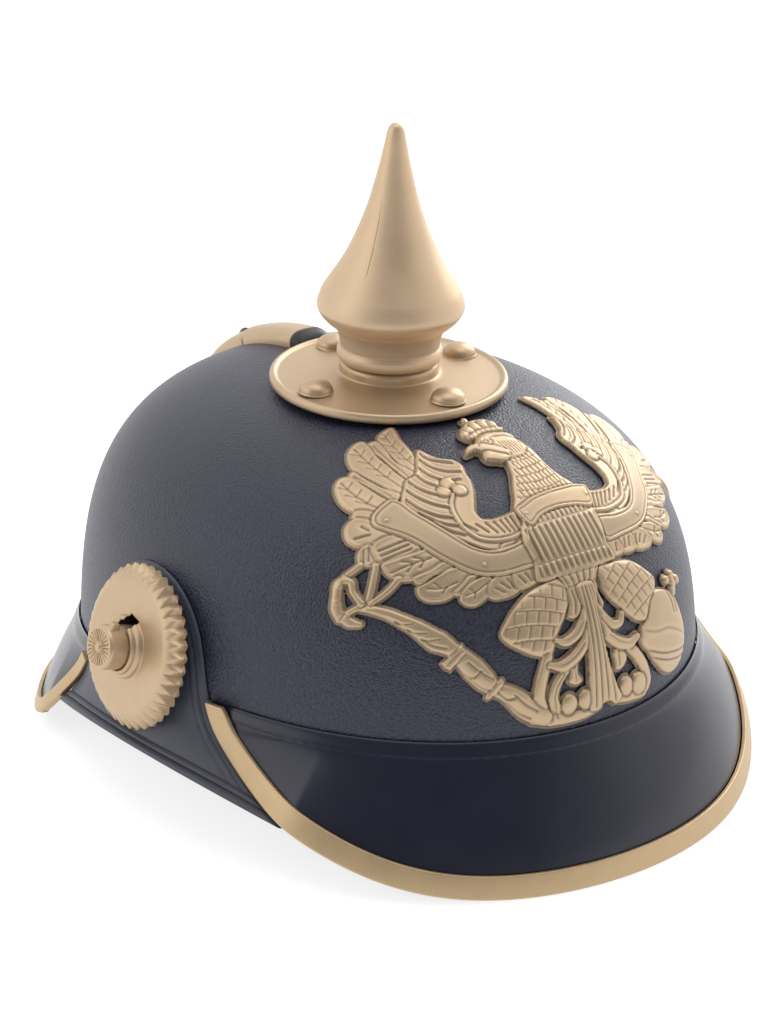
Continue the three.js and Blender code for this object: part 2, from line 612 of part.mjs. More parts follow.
buildCrown();
for (const [name, peak] of Object.entries(peaks)) {
  buildPeak(`${name}_peak`, peak);
  buildTrim(`${name}_peak_trim`, peak);
}
for (const [name, side] of [["right", -1], ["left", 1]]) {
  buildFlap(`side_flap_${name}`, side);
  buildRosette(name, side);
}
buildPlate();
buildSpike();
buildSpine();
buildEagle();

// The helmet leans until both rims rest, then its box is centred over the origin, standing on Z = 0
const root = new THREE.Group();
root.add(helmet);
helmet.rotation.x = rad(lean);
const box = new THREE.Box3().setFromObject(helmet, true);
helmet.position.set(0, -(box.min.y + box.max.y) / 2, -box.min.z);

export default root;
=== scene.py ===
import math

import bmesh
import bpy
import numpy as np
from mathutils import Matrix


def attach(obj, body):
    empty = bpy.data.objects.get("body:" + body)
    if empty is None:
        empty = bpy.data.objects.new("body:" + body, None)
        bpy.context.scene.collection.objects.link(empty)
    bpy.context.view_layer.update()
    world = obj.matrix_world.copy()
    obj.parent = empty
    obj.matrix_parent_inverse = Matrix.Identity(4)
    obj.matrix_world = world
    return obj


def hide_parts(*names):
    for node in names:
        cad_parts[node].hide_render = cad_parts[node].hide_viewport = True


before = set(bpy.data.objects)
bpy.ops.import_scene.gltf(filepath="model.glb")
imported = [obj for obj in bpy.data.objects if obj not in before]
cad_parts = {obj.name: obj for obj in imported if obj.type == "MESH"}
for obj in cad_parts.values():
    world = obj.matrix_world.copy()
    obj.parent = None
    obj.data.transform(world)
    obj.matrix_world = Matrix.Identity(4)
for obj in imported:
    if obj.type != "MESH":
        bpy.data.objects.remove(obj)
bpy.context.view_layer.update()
print("solids loaded:", len(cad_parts))

# shapes are worked out in mm round the spike's own axis, with the plate's rim at height 0
stand = {"lean": 2.9, "slide": -0.801, "lift": 120.057}


def toRow(points):
    # turned about X by the lean, set down on the floor, and given in metres
    lean = math.radians(stand["lean"])
    x, y, z = np.moveaxis(np.asarray(points, float), -1, 0)
    back = y * math.cos(lean) - z * math.sin(lean) + stand["slide"]
    up = y * math.sin(lean) + z * math.cos(lean) + stand["lift"]
    return np.stack([x, back, up], -1) / 1000


def unit(vectors):
    # each vector over its own length
    return vectors / np.maximum(np.linalg.norm(vectors, axis=-1, keepdims=True), 1e-9)


def ease(low, high, values):
    # smooth step: 0 below low, 1 above high, 3t^2 - 2t^3 between
    t = np.clip((values - low) / (high - low), 0, 1)
    return t * t * (3 - 2 * t)


def lengthAlong(rows):
    # distance along a line of points, from its first one
    return np.concatenate([[0], np.cumsum(np.linalg.norm(np.diff(rows, axis=0), axis=-1))])


def relaxed(rows, times, middle=2.0):
    # moving average along the rows, with both ends held
    for _ in range(times):
        mean = (rows[:-2] + rows[1:-1] * middle + rows[2:]) / (2 + middle)
        rows = np.concatenate([rows[:1], mean, rows[-1:]])
    return rows


def fromLine(points, rows):
    # each point's distance from a line of points, and how far along it (0 to 1) the nearest place lies
    best = np.full(points.shape[:2], 1e9)
    along = np.zeros_like(best)
    reach = lengthAlong(rows)
    for k in range(len(rows) - 1):
        way = rows[k + 1] - rows[k]
        t = np.clip(((points - rows[k]) @ way) / max(way @ way, 1e-9), 0, 1)
        far = np.sqrt(((points - rows[k] - t[..., None] * way) ** 2).sum(-1))
        closer = far < best
        best = np.where(closer, far, best)
        along = np.where(closer, (reach[k] + t * (reach[k + 1] - reach[k])) / reach[-1], along)
    return best, along


def bell(far, width):
    # 1 at no distance, fading as e to the minus square of distance over width
    return np.exp(-(far / width) ** 2)


def roundTop(share):
    # a quarter circle: 1 at 0, falling to 0 at 1 and staying there
    return np.sqrt(np.maximum(1 - share ** 2, 0))


def turnedOut(normals, points):
    # normals turned away from the spike's axis
    return normals * np.where((normals * points)[..., :2].sum(-1) < 0, -1, 1)[..., None]


def smoothThrough(rows, count, closed=False):
    # cubic through the rows, even along its length: each span is a Hermite curve with central slopes
    rows = np.asarray(rows, float)
    if closed:
        rows = np.vstack([rows[-2:], rows, rows[:3]])
    reach = lengthAlong(rows)
    first, last = (reach[2], reach[-3]) if closed else (0, reach[-1])
    slopes = np.gradient(rows, reach, axis=0)
    fine = np.linspace(first, last, count, endpoint=not closed)
    k = np.clip(np.searchsorted(reach, fine, side="right") - 1, 0, len(rows) - 2)
    span = (reach[k + 1] - reach[k])[:, None]
    t = (fine - reach[k])[:, None] / span
    start, end = rows[k], rows[k + 1]
    bend = (1 - t) * slopes[k] * span - t * slopes[k + 1] * span
    return start + (end - start) * (3 * t * t - 2 * t ** 3) + t * (1 - t) * bend


def rounded(corners, steps=5):
    # corners are rows of across, up and rounding; each corner becomes a short quadratic arc
    corners = np.asarray(corners, float)
    line = []
    for k, (x, y, size) in enumerate(corners):
        here = np.array([x, y])
        if size <= 0 or k in (0, len(corners) - 1):
            line.append(here[None])
            continue
        before, after = corners[k - 1, :2] - here, corners[k + 1, :2] - here
        enter = here + before * min(size / np.linalg.norm(before), 0.5)
        leave = here + after * min(size / np.linalg.norm(after), 0.5)
        t = np.linspace(0, 1, steps)[:, None]
        line.append((1 - t) ** 2 * enter + 2 * t * (1 - t) * here + t * t * leave)
    return np.concatenate(line)


def gridFaces(rows, columns, wrapRows=False, wrapColumns=False):
    # quads between neighbouring points of a grid, closing on itself where it wraps
    i = np.arange(rows if wrapRows else rows - 1)[:, None]
    j = np.arange(columns if wrapColumns else columns - 1)[None, :]
    below, beside = (i + 1) % rows, (j + 1) % columns
    corners = [i * columns + j, below * columns + j, below * columns + beside, i * columns + beside]
    return np.stack(np.broadcast_arrays(*corners), -1).reshape(-1, 4).tolist()


def tubeFaces(rows, columns):
    # a tube from ring to ring, closed at both ends
    ring = np.arange(columns)
    ends = [ring.tolist(), (ring + (rows - 1) * columns)[::-1].tolist()]
    return gridFaces(rows, columns, False, True) + ends


def makePiece(name, points, faces, finish, nodes, shade=None, sharp=50):
    # a closed mesh from points in mm; points that fall together are merged, and faces turned outwards
    mesh = bpy.data.meshes.new(name)
    mesh.from_pydata(toRow(points.reshape(-1, 3)), [], faces)
    if shade is not None:
        values = mesh.attributes.new("shade", "FLOAT", "POINT").data
        values.foreach_set("value", shade.ravel().astype(np.float32))
    work = bmesh.new()
    work.from_mesh(mesh)
    bmesh.ops.remove_doubles(work, verts=work.verts, dist=2e-7)
    bmesh.ops.recalc_face_normals(work, faces=work.faces)
    work.to_mesh(mesh)
    work.free()
    mesh.shade_smooth()
    mesh.set_sharp_from_angle(angle=math.radians(sharp))
    mesh.materials.append(finish)
    piece = bpy.data.objects.new(name, mesh)
    bpy.context.scene.collection.objects.link(piece)
    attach(piece, "root")
    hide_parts(*nodes)
    print(name, "made:", len(mesh.polygons), "faces")


def latheGrid(profile, angles):
    # every profile row (radius, height) carried round the axis
    r, z = profile[:, 0][:, None], profile[:, 1][:, None]
    return np.stack(np.broadcast_arrays(r * np.sin(angles), -r * np.cos(angles), z), -1)


def fullTurn(count):
    return np.arange(count) * (2 * math.pi / count)


class Wire:
    # a socket of a node tree; a sum written with it adds a Math node
    def __init__(self, tree, socket):
        self.tree, self.socket = tree, socket

    def maths(self, operation, first, second):
        node = self.tree.nodes.new("ShaderNodeMath")
        node.operation = operation
        for place, value in zip(node.inputs, (first, second)):
            plug(self.tree, place, value)
        return Wire(self.tree, node.outputs[0])

    def __add__(self, other):
        return self.maths("ADD", self, other)

    def __radd__(self, other):
        return self.maths("ADD", other, self)

    def __sub__(self, other):
        return self.maths("SUBTRACT", self, other)

    def __rsub__(self, other):
        return self.maths("SUBTRACT", other, self)

    def __mul__(self, other):
        return self.maths("MULTIPLY", self, other)

    def __rmul__(self, other):
        return self.maths("MULTIPLY", other, self)


def plug(tree, place, value):
    if isinstance(value, Wire):
        tree.links.new(value.socket, place)
    else:
        place.default_value = value


class Nodes:
    # a node tree: any node is added with its settings and what its sockets take, values or wires
    def __init__(self, tree):
        self.tree = tree

    def node(self, kind, settings, inputs, output=0):
        node = self.tree.nodes.new(kind)
        for key, value in settings.items():
            setattr(node, key, value)
        for key, value in inputs.items():
            plug(self.tree, node.inputs[key], value)
        return Wire(self.tree, node.outputs[output])


class Finish(Nodes):
    # a material and the nodes that feed its shader
    def __init__(self, name):
        self.material = bpy.data.materials.new(name)
        self.material.use_nodes = True
        super().__init__(self.material.node_tree)
        self.shader = self.tree.nodes["Principled BSDF"]

    def place(self):
        return self.node("ShaderNodeTexCoord", {}, {}, "Object")

    def speckle(self, scale, detail=2.0):
        return self.node("ShaderNodeTexNoise", {},
                         {"Vector": self.place(), "Scale": scale, "Detail": detail})

    def blend(self, share, low, high):
        # colour mixed from low to high
        return self.node("ShaderNodeMix", {"data_type": "RGBA"}, {0: share, 6: low, 7: high}, 2)

    def paintedShadeAndDark(self):
        # the painted shade and dark colour of a point, 0 to 1, from the mesh's shade attribute
        return self.node("ShaderNodeAttribute", {"attribute_name": "shade"}, {}, "Fac")

    def bump(self, height, strength, depth):
        return self.node("ShaderNodeBump", {},
                         {"Height": height, "Strength": strength, "Distance": depth})

    def give(self, **sockets):
        for key, value in sockets.items():
            plug(self.tree, self.shader.inputs[key.replace("_", " ")], value)
        return self.material


goldLook = {"light": (0.565, 0.42, 0.27, 1), "deep": (0.49, 0.358, 0.224, 1),
            "dark": (0.006, 0.006, 0.006, 1), "roughness": 0.36, "uneven": 0.1, "metallic": 0.72,
            "cloud": 160.0, "grain": 3500.0, "grainStrength": 0.12, "grainDepth": 0.0002}
trimLook = dict(goldLook, light=(0.555, 0.405, 0.24, 1), deep=(0.48, 0.345, 0.196, 1))
# the spike's paint is a lighter copy of the gold: painted light, for the brighter light that falls on the
# spike
spikeLook = dict(goldLook, light=(0.655, 0.49, 0.325, 1), deep=(0.575, 0.422, 0.272, 1), roughness=0.42)


def goldPaint(name, look):
    # satin gold paint, faintly cloudy, with a fine spray texture; the shade attribute paints shade into
    # grooves, hollows and openings, and darkens a few dark parts
    gold = Finish(name)
    cloud = gold.speckle(look["cloud"], 3.0)
    grain = gold.speckle(look["grain"], 1.0)
    paintedShadeAndDark = gold.paintedShadeAndDark()
    paint = gold.blend(cloud, look["deep"], look["light"])
    return gold.give(Base_Color=gold.blend(paintedShadeAndDark, paint, look["dark"]),
                     Metallic=look["metallic"] - paintedShadeAndDark * look["metallic"],
                     Roughness=look["roughness"] + look["uneven"] * cloud,
                     Normal=gold.bump(grain, look["grainStrength"], look["grainDepth"]))


shellLook = {"colour": (0.0085, 0.0095, 0.023, 1), "pale": (0.029, 0.031, 0.056, 1), "pebble": 1500.0,
             "grit": 1300.0, "gritHeight": 0.8, "roughness": 0.3, "uneven": 0.22, "strength": 0.55,
             "depth": 0.0004}


def grainedShell():
    # leather-grained plastic: rounded pebbles under a millimetre across, with pale and dark flecks
    shell = Finish("grained navy shell")
    pebble = shell.node("ShaderNodeTexVoronoi", {"feature": "SMOOTH_F1"},
                        {"Vector": shell.place(), "Scale": shellLook["pebble"], "Smoothness": 0.6})
    grit = shell.speckle(shellLook["grit"])
    height = grit * shellLook["gritHeight"] - pebble
    flecks = grit * 2.6 - 0.8  # the noise stretched over the whole range
    return shell.give(Base_Color=shell.blend(flecks, shellLook["colour"], shellLook["pale"]),
                      Roughness=shellLook["roughness"] + shellLook["uneven"] * grit,
                      Normal=shell.bump(height, shellLook["strength"], shellLook["depth"]))


glossLook = {"colour": (0.007, 0.0075, 0.02, 1), "pale": (0.012, 0.0125, 0.028, 1), "cloud": 70.0,
             "wave": 28.0, "waveStrength": 0.12, "waveDepth": 0.002, "roughness": 0.18, "uneven": 0.1}
flapLook = {"colour": (0.037, 0.038, 0.056, 1), "pale": (0.066, 0.068, 0.096, 1),
            "dark": (0.003, 0.003, 0.005, 1), "cloud": 90.0, "grain": 1500.0, "grainStrength": 0.06,
            "grainDepth": 0.0003, "roughness": 0.46, "uneven": 0.1, "grooveRoughness": 0.4}


def glossyShell():
    # smooth navy plastic with a polish that is slightly uneven
    gloss = Finish("glossy navy shell")
    cloud = gloss.speckle(glossLook["cloud"])
    wave = gloss.speckle(glossLook["wave"], 1.0)
    return gloss.give(Base_Color=gloss.blend(cloud, glossLook["colour"], glossLook["pale"]),
                      Roughness=glossLook["roughness"] + glossLook["uneven"] * cloud,
                      Normal=gloss.bump(wave, glossLook["waveStrength"], glossLook["waveDepth"]))


def flapShell():
    # the same plastic with a duller polish; painted shade darkens its grooves, which are also rougher
    dull = Finish("satin navy shell")
    cloud = dull.speckle(flapLook["cloud"], 3.0)
    grain = dull.speckle(flapLook["grain"])
    paintedShadeAndDark = dull.paintedShadeAndDark()
    plain = dull.blend(cloud, flapLook["colour"], flapLook["pale"])
    polish = flapLook["roughness"] + flapLook["uneven"] * cloud
    return dull.give(Base_Color=dull.blend(paintedShadeAndDark, plain, flapLook["dark"]),
                     Roughness=polish + flapLook["grooveRoughness"] * paintedShadeAndDark,
                     Normal=dull.bump(grain, flapLook["grainStrength"], flapLook["grainDepth"]))


goldFinish = goldPaint("satin gold paint", goldLook)
trimFinish = goldPaint("yellow gold paint", trimLook)
spikeFinish = goldPaint("gold paint lightened as painted light", spikeLook)
shellFinish = grainedShell()
glossFinish = glossyShell()
flapFinish = flapShell()
print("finishes ready")

# crown: an oval dome, radius = 104 (1 - (1 - depth)^5.3)^(1/2.68), stretched front to back
crown = {"radius": 104.0, "stretch": 1.1, "depth": 150.0, "roundness": 5.3, "shoulder": 2.68,
         "apex": -1.2, "wall": 2.0, "hole": 7.0, "edge": -91.0, "edgeSlope": 0.11, "columns": 240,
         "rows": 96, "insideRows": 24}


def crownRadius(z):
    depth = np.clip((crown["apex"] - z) / crown["depth"], 0, 1)
    return crown["radius"] * np.maximum(1 - (1 - depth) ** crown["roundness"], 0) ** (1 / crown["shoulder"])


def crownHeight(radius):
    share = (radius / crown["radius"]) ** crown["shoulder"]
    return crown["apex"] - crown["depth"] * (1 - (1 - share) ** (1 / crown["roundness"]))


def crownNormal(p):
    # slope of the dome's implicit form: (stretch^2 x, y / stretch^2, -r r')
    x, y, z = np.moveaxis(p, -1, 0)
    slope = (crownRadius(z - 0.1) - crownRadius(z + 0.1)) / 0.2
    wide = crown["stretch"] ** 2
    return unit(np.stack([x * wide, y / wide, crownRadius(z) * slope], -1))


def onCrown(angle, z, facing, out):
    # point at an angle from the front (facing -1) or the back (facing 1), moved out along the normal
    r = crownRadius(z)
    p = np.stack(np.broadcast_arrays(r / crown["stretch"] * np.sin(angle),
                                     facing * r * crown["stretch"] * np.cos(angle), z), -1)
    return p + crownNormal(p) * np.asarray(out)[..., None]


def makeCrown():
    angle = fullTurn(crown["columns"])[None, :]
    edge = crown["edge"] + crown["edgeSlope"] * crown["radius"] * crown["stretch"] * np.cos(angle)
    brim = crownRadius(edge)

    def skin(rows, out):
        share = np.sin(np.linspace(0, math.pi / 2, rows))[:, None]
        radius = crown["hole"] + (brim - crown["hole"]) * share
        z = np.where(share > 0.9999, edge, np.maximum(crownHeight(np.minimum(radius, brim - 1e-6)), edge))
        return onCrown(angle, z, -1, np.full(z.shape, out))
    outer = skin(crown["rows"], 0.0)
    inner = skin(crown["insideRows"], -crown["wall"])[::-1]
    grid = np.concatenate([outer, inner])
    faces = gridFaces(len(grid), crown["columns"], True, True)
    makePiece("crown_shell", grid, faces, shellFinish, ["crown"])


makeCrown()

# peaks: a lap on the crown, then an apron out to a rim that stands on the floor in the middle
peakWall = 1.6
lapHeight = 5.0
lapGap = 0.35
floorHeight = -120.0
trim = {"lip": 1.3, "seat": 0.25, "thickness": 1.25, "under": 0.9, "hem": 0.9}
peaks = {
    "front": {"facing": -1, "lapAngle": 71.0, "lapTop": -71.6, "lapSlope": 0.0, "lapDip": -2.5,
              "rimAngle": 70.4, "rimHalfWidth": 94.1, "rimCentre": 46.2, "rimReach": 86.8, "rise": 23.4,
              "sharpness": 5.3, "bulge": 0.049, "endShare": 8 / 28, "endSlant": 1.6, "endSag": 1.8,
              "trimTop": -1.0, "trimFace": 5.9, "flapShare": 1.0},
    "rear": {"facing": 1, "lapAngle": 73.0, "lapTop": -79.5, "lapSlope": -0.155, "lapDip": 0.0,
             "rimAngle": 74.0, "rimHalfWidth": 104.2, "rimCentre": 25.0, "rimReach": 94.0, "rise": 16.5,
             "sharpness": 24.0, "bulge": 0.035, "endShare": 4 / 28, "endSlant": 0.0, "endSag": 0.0,
             "trimTop": 0.05, "trimFace": 3.2, "flapShare": 0.65},
}
peakGrid = {"columns": 361, "lapRows": 21, "apronRows": 45, "edgePoints": 401, "rimPoints": 561,
            "endPoints": 8}
lapEdge = {"thin": 1.3, "over": 4.0}
endFoot = lapHeight + 3
stitch = {"drop": 4.1, "pitch": 4.3, "length": 3.1, "width": 0.4, "height": 0.06}


def lapPoint(peak, across, drop, out):
    # a point of the lap: a level line round the crown, dipping to its ends and slanting in below
    slant = peak["endSlant"] * (np.asarray(drop) / endFoot) ** 2
    angle = np.radians(peak["lapAngle"] - slant) * across
    halfLength = crownRadius(peak["lapTop"]) * crown["stretch"]
    y = peak["facing"] * halfLength * np.cos(angle)
    z = peak["lapTop"] + peak["lapSlope"] * y + peak["lapDip"] * np.sin(angle) ** 2 - drop
    return onCrown(angle, z, peak["facing"], out)


def lapDrop(down):
    return lapHeight * (1 + np.minimum(down, 0))


def rimPoint(peak, across):
    # an ellipse on the floor that climbs at its sides, then a straight end up to the lap's corner
    share = peak["endShare"]
    turn = np.minimum(np.abs(across) / (1 - share), 1)
    angle = np.sign(across) * np.radians(peak["rimAngle"]) * turn
    y = peak["facing"] * (peak["rimCentre"] + peak["rimReach"] * np.cos(angle))
    rise = peak["rise"] * np.abs(np.sin(angle)) ** peak["sharpness"]
    floor = floorHeight - math.tan(math.radians(stand["lean"])) * y
    rim = np.stack([peak["rimHalfWidth"] * np.sin(angle), y, floor + trim["lip"] + rise], -1)
    climb = np.maximum((np.abs(across) - 1 + share) / share, 0)[..., None]
    end = rim + (lapPoint(peak, np.sign(across), endFoot, lapGap + peakWall) - rim) * climb
    return end - peak["endSag"] * 4 * climb * (1 - climb) * np.array([0, 0, 1.0])


def peakPoint(peak, across, down):
    # down: -1 at the lap's top, 0 at its foot, 1 at the rim; the apron bows out a little on the way
    across, down = np.broadcast_arrays(np.asarray(across, float), np.asarray(down, float))
    out = lapGap + peakWall
    lap = lapPoint(peak, across, lapDrop(down), out)
    rim = rimPoint(peak, across)
    fall = np.maximum(down, 0)[..., None]
    away = unit(rim * np.array([1, 1, 0]))
    bow = peak["bulge"] * np.linalg.norm(rim - lap, axis=-1, keepdims=True) * 4 * fall * (1 - fall)
    return lap + (rim - lap) * fall + away * bow


def peakRates(peak, across, down, step=0.01):
    # how fast a point of the peak moves along the rim and down the apron
    along = peakPoint(peak, across + step, down) - peakPoint(peak, across - step, down)
    fall = peakPoint(peak, across, down + step) - peakPoint(peak, across, down - step)
    return along / (2 * step), fall / (2 * step)


def peakNormal(peak, across, down):
    return turnedOut(unit(np.cross(*peakRates(peak, across, down))), peakPoint(peak, across, down))


def makePeak(name, peak):
    across = np.linspace(-1, 1, peakGrid["columns"])[None, :]
    lapRows = np.linspace(-1, 0, peakGrid["lapRows"])[:-1]
    apronRows = np.linspace(0, 1, peakGrid["apronRows"])
    down = np.concatenate([lapRows, apronRows])[:, None]
    outer = peakPoint(peak, across, down)
    # averaged down each column, so that the lap runs into the apron without a crease
    soft = relaxed(outer, 60, 1.0)
    hold = ease(-0.85, -0.5, down) * (1 - ease(0.85, 0.97, down))
    outer = outer + (soft - outer) * hold[..., None]
    normal = turnedOut(unit(np.cross(np.gradient(outer, axis=1), np.gradient(outer, axis=0))), outer)
    # stitches: short raised capsules in one row under the lap's edge
    length = lengthAlong(outer[0])
    depth = np.cumsum(np.linalg.norm(np.diff(outer, axis=0, prepend=outer[:1]), axis=-1), axis=0)
    run = np.abs((length % stitch["pitch"]) - stitch["pitch"] / 2)[None, :]
    beyond = np.hypot(np.maximum(run - stitch["length"] / 2 + stitch["width"], 0), depth - stitch["drop"])
    thread = stitch["height"] * roundTop(beyond / stitch["width"])
    # the lap thins to a fine edge where it meets the crown
    edgeDrop = lapEdge["thin"] * (1 - ease(0, lapEdge["over"], depth))
    shown = outer + normal * (thread - edgeDrop)[..., None]
    lapInside = lapPoint(peak, across, lapDrop(down), np.full(down.shape, lapGap))
    inner = np.where((down < 0)[..., None], lapInside, outer - normal * peakWall)[::-3]
    grid = np.concatenate([shown, inner])
    rows, columns = grid.shape[:2]
    faces = gridFaces(rows, columns, True, False)
    ends = np.arange(rows) * columns
    faces += [ends.tolist(), (ends + columns - 1)[::-1].tolist()]
    makePiece(name + "_peak_shell", grid, faces, glossFinish, [name + "_peak"], sharp=60)


def peakEdge(peak, top):
    # points round a peak's edge, with its normal, the way off the peak and the trim's inner line
    climb = np.linspace(top, 1, peakGrid["endPoints"], endpoint=False)
    rim = np.linspace(-1, 1, peakGrid["rimPoints"])
    end = np.ones_like(climb)
    across = np.concatenate([-end, rim, end])
    down = np.concatenate([climb, np.ones_like(rim), climb[::-1]])
    rows = np.column_stack([peakPoint(peak, across, down), across, down])
    reach = lengthAlong(rows[:, :3])
    even = np.linspace(0, reach[-1], peakGrid["edgePoints"])
    rows = np.column_stack([np.interp(even, reach, column) for column in rows.T])
    # the corners are eased by averaging neighbours
    rows = relaxed(rows, 90)
    point, a, d = rows[:, :3], rows[:, 3], rows[:, 4]
    normal = peakNormal(peak, a, np.minimum(d, 0.999))
    for _ in range(30):
        normal[1:-1] = unit(normal[:-2] + 2 * normal[1:-1] + normal[2:])
    off = unit(np.cross(np.gradient(point, axis=0), normal)) * -peak["facing"]
    # the inner line is stepped towards its place on the peak by least squares
    target = point - off * peak["trimFace"]
    for _ in range(8):
        rest = target - peakPoint(peak, a, d)
        along, fall = peakRates(peak, a, d)
        mixed, alongSize, fallSize = (along * fall).sum(-1), (along ** 2).sum(-1), (fall ** 2).sum(-1)
        size = np.maximum(alongSize * fallSize - mixed ** 2, 1e-6)
        alongRest, fallRest = (rest * along).sum(-1), (rest * fall).sum(-1)
        a = np.clip(a + (alongRest * fallSize - fallRest * mixed) / size, -1, 1)
        d = np.clip(d + (fallRest * alongSize - alongRest * mixed) / size, -1, 1)
    return point, relaxed(peakPoint(peak, a, d), 30), normal, off


def makeTrim(name, peak):
    # a flat strip with rounded edges, carried round the peak's edge from its inner line to its lip
    point, inside, normal, off = peakEdge(peak, peak["trimTop"])
    seat, top = trim["seat"], trim["seat"] + trim["thickness"]
    width = peak["trimFace"] + trim["lip"]
    hem, foot = width - trim["hem"], -trim["under"]
    section = rounded([[0, seat, 0], [0, top, 0.45], [width, top, 0.7], [width, foot, 0.4],
                       [hem, foot, 0.1], [hem, seat, 0], [0, seat, 0]], 6)[:-1]
    across, up = section[:, 0][None, :, None], section[:, 1][None, :, None]
    share = np.clip(across / peak["trimFace"], 0, 1)
    base = inside[:, None] + (point - inside)[:, None] * share
    base = base + off[:, None] * np.maximum(across - peak["trimFace"], 0)
    grid = base + normal[:, None] * up
    faces = tubeFaces(*grid.shape[:2])
    makePiece(name + "_trim_strip", grid, faces, trimFinish, [name + "_peak_trim"], sharp=40)


for peakName, peakSizes in peaks.items():
    makePeak(peakName, peakSizes)
    makeTrim(peakName, peakSizes)

# base plate, studs and spike: profiles of radius and height turned about the axis
plate = {"segments": 192,
         "profile": [[0, -4.5, 0], [5.5, -4.5, 0.5], [5.5, -0.8, 0.2], [15.8, -0.8, 0.5], [36.6, -1.9, 0.8],
                     [38.0, -1.3, 0.7], [38.0, 0.7, 0.9], [37.2, 1.5, 0.6], [36.3, 1.4, 0.5],
                     [35.5, 0.7, 0.6], [30.0, 1.1, 2.0], [17.0, 2.0, 0.9], [15.9, 2.3, 0.5],
                     [15.8, 5.0, 0.9], [14.7, 6.0, 0.5], [11.4, 6.0, 0.2], [11.4, 12.0, 0.5], [0, 12.0, 0]]}


def makePlate():
    profile = rounded(plate["profile"], 6)
    grid = latheGrid(profile, fullTurn(plate["segments"]))
    faces = gridFaces(len(profile), plate["segments"], False, True)
    makePiece("base_plate_dish", grid, faces, goldFinish, ["base_plate"])


stud = {"radius": 5.3, "height": 3.7, "wall": 0.5, "fullness": 0.9, "pitch": 29.1, "turn": 3.0, "seat": 1.3,
        "segments": 48, "foot": [[0, 0], [5.65, 0], [5.4, 0.25]]}


def makeStud(name, turn):
    # a dome on a short wall: radius (cos t) ^ fullness, height sin t
    t = np.linspace(0, math.pi / 2, 18)
    rise = stud["wall"] + (stud["height"] - stud["wall"]) * np.sin(t)
    dome = np.stack([stud["radius"] * np.cos(t) ** stud["fullness"], rise], -1)
    profile = np.concatenate([stud["foot"], dome])
    profile[-1, 0] = 0
    angle = math.radians(stud["turn"] + turn)
    centre = [stud["pitch"] * math.sin(angle), -stud["pitch"] * math.cos(angle), stud["seat"]]
    grid = latheGrid(profile, fullTurn(stud["segments"])) + np.array(centre)
    faces = gridFaces(len(profile), stud["segments"], False, True)
    makePiece("stud_" + name, grid, faces, goldFinish, ["base_stud_" + name])


spike = {"bore": 11.8, "segments": 120, "seamTurn": -64.5, "seamWidth": 0.13, "seamDepth": 0.12,
         "seamLow": 37.0, "seamHigh": 62.0, "seamShade": 0.06, "neckShade": 0.27, "neckFoot": (10.5, 11.5),
         "neckTop": (16.5, 18.2), "neckRadius": 15.0,
         "bead": [[15.2, 6.35, 0], [16.2, 6.45, 0.4], [16.8, 7.6, 0.9], [16.75, 9.7, 0.9],
                  [16.15, 10.7, 0.5], [15.75, 11.1, 0.3], [15.9, 12.0, 0.5], [16.2, 14.0, 1.2],
                  [16.9, 16.0, 1.2], [17.9, 17.5, 0.7], [18.5, 18.0, 0.25], [18.7, 18.5, 0.2],
                  [19.5, 18.8, 0.2], [19.9, 19.0, 0]],
         "flare": [[19.95, 19.05], [21.1, 20.1], [22.2, 21.4], [22.95, 22.6], [23.35, 23.9], [23.25, 25.2],
                   [22.75, 26.9], [21.9, 29.0], [20.55, 31.2], [18.8, 33.9], [17.1, 36.6], [14.5, 41.1],
                   [12.1, 46.3], [10.05, 51.4], [8.25, 56.6], [6.8, 61.7], [5.5, 66.8], [4.3, 71.9],
                   [3.3, 76.9], [2.75, 79.4], [2.3, 80.9], [1.5, 81.9], [0, 82.3]],
         "inside": [[0, 58.0], [3.0, 57.0], [6.5, 54.0], [12.0, 42.0], [17.0, 33.0], [20.5, 27.0],
                    [20.6, 23.0], [17.0, 19.5], [13.5, 16.0], [11.8, 12.4]]}


def makeSpike():
    bead = rounded(spike["bead"], 6)
    flare = smoothThrough(spike["flare"], 96)
    inside = smoothThrough(spike["inside"], 18)
    mouth = np.array([[spike["bore"], 12.2], [spike["bore"], 6.35]])
    profile = np.concatenate([inside, mouth, bead, flare])
    # two hairline mould seams run up the taper, with the columns packed close beside them
    seams = np.radians([spike["seamTurn"], spike["seamTurn"] + 180])
    near = (seams[:, None] + np.linspace(-0.06, 0.06, 17)).ravel() % (2 * math.pi)
    angles = np.unique(np.round(np.concatenate([fullTurn(spike["segments"]), near]), 6))
    grid = latheGrid(profile, angles)
    turn = np.abs((angles[:, None] - seams + math.pi) % (2 * math.pi) - math.pi).min(1)
    r, z = profile[:, :1], profile[:, 1:]
    outside = np.arange(len(profile))[:, None] >= len(inside) + len(mouth) + len(bead)
    ends = ease(0, 0.8, z - spike["seamLow"]) * (1 - ease(-9, 0, z - spike["seamHigh"]))
    groove = bell(turn[None, :] * r, spike["seamWidth"]) * outside * ends
    grid = grid - unit(grid * np.array([1, 1, 0]) + 1e-9) * (spike["seamDepth"] * groove)[..., None]
    grid[-1] = [0, 0, spike["flare"][-1][1]]
    grid[0] = [0, 0, spike["inside"][0][1]]
    # painted shade and reflection: the neck between bead and flare is darkened for the shade and dark
    # reflections it gets under the flare; the seam grooves get a little painted shade too
    neck = ease(*spike["neckFoot"], z) * (1 - ease(*spike["neckTop"], z)) * (r > spike["neckRadius"])
    shade = spike["seamShade"] * groove + spike["neckShade"] * neck
    faces = gridFaces(len(profile), len(angles), False, True)
    makePiece("spike_turned", grid, faces, spikeFinish, ["spike"], shade=shade)


makePlate()
for studName, studTurn in {"front": 0, "left": 90, "back": 180, "right": 270}.items():
    makeStud(studName, studTurn)
makeSpike()

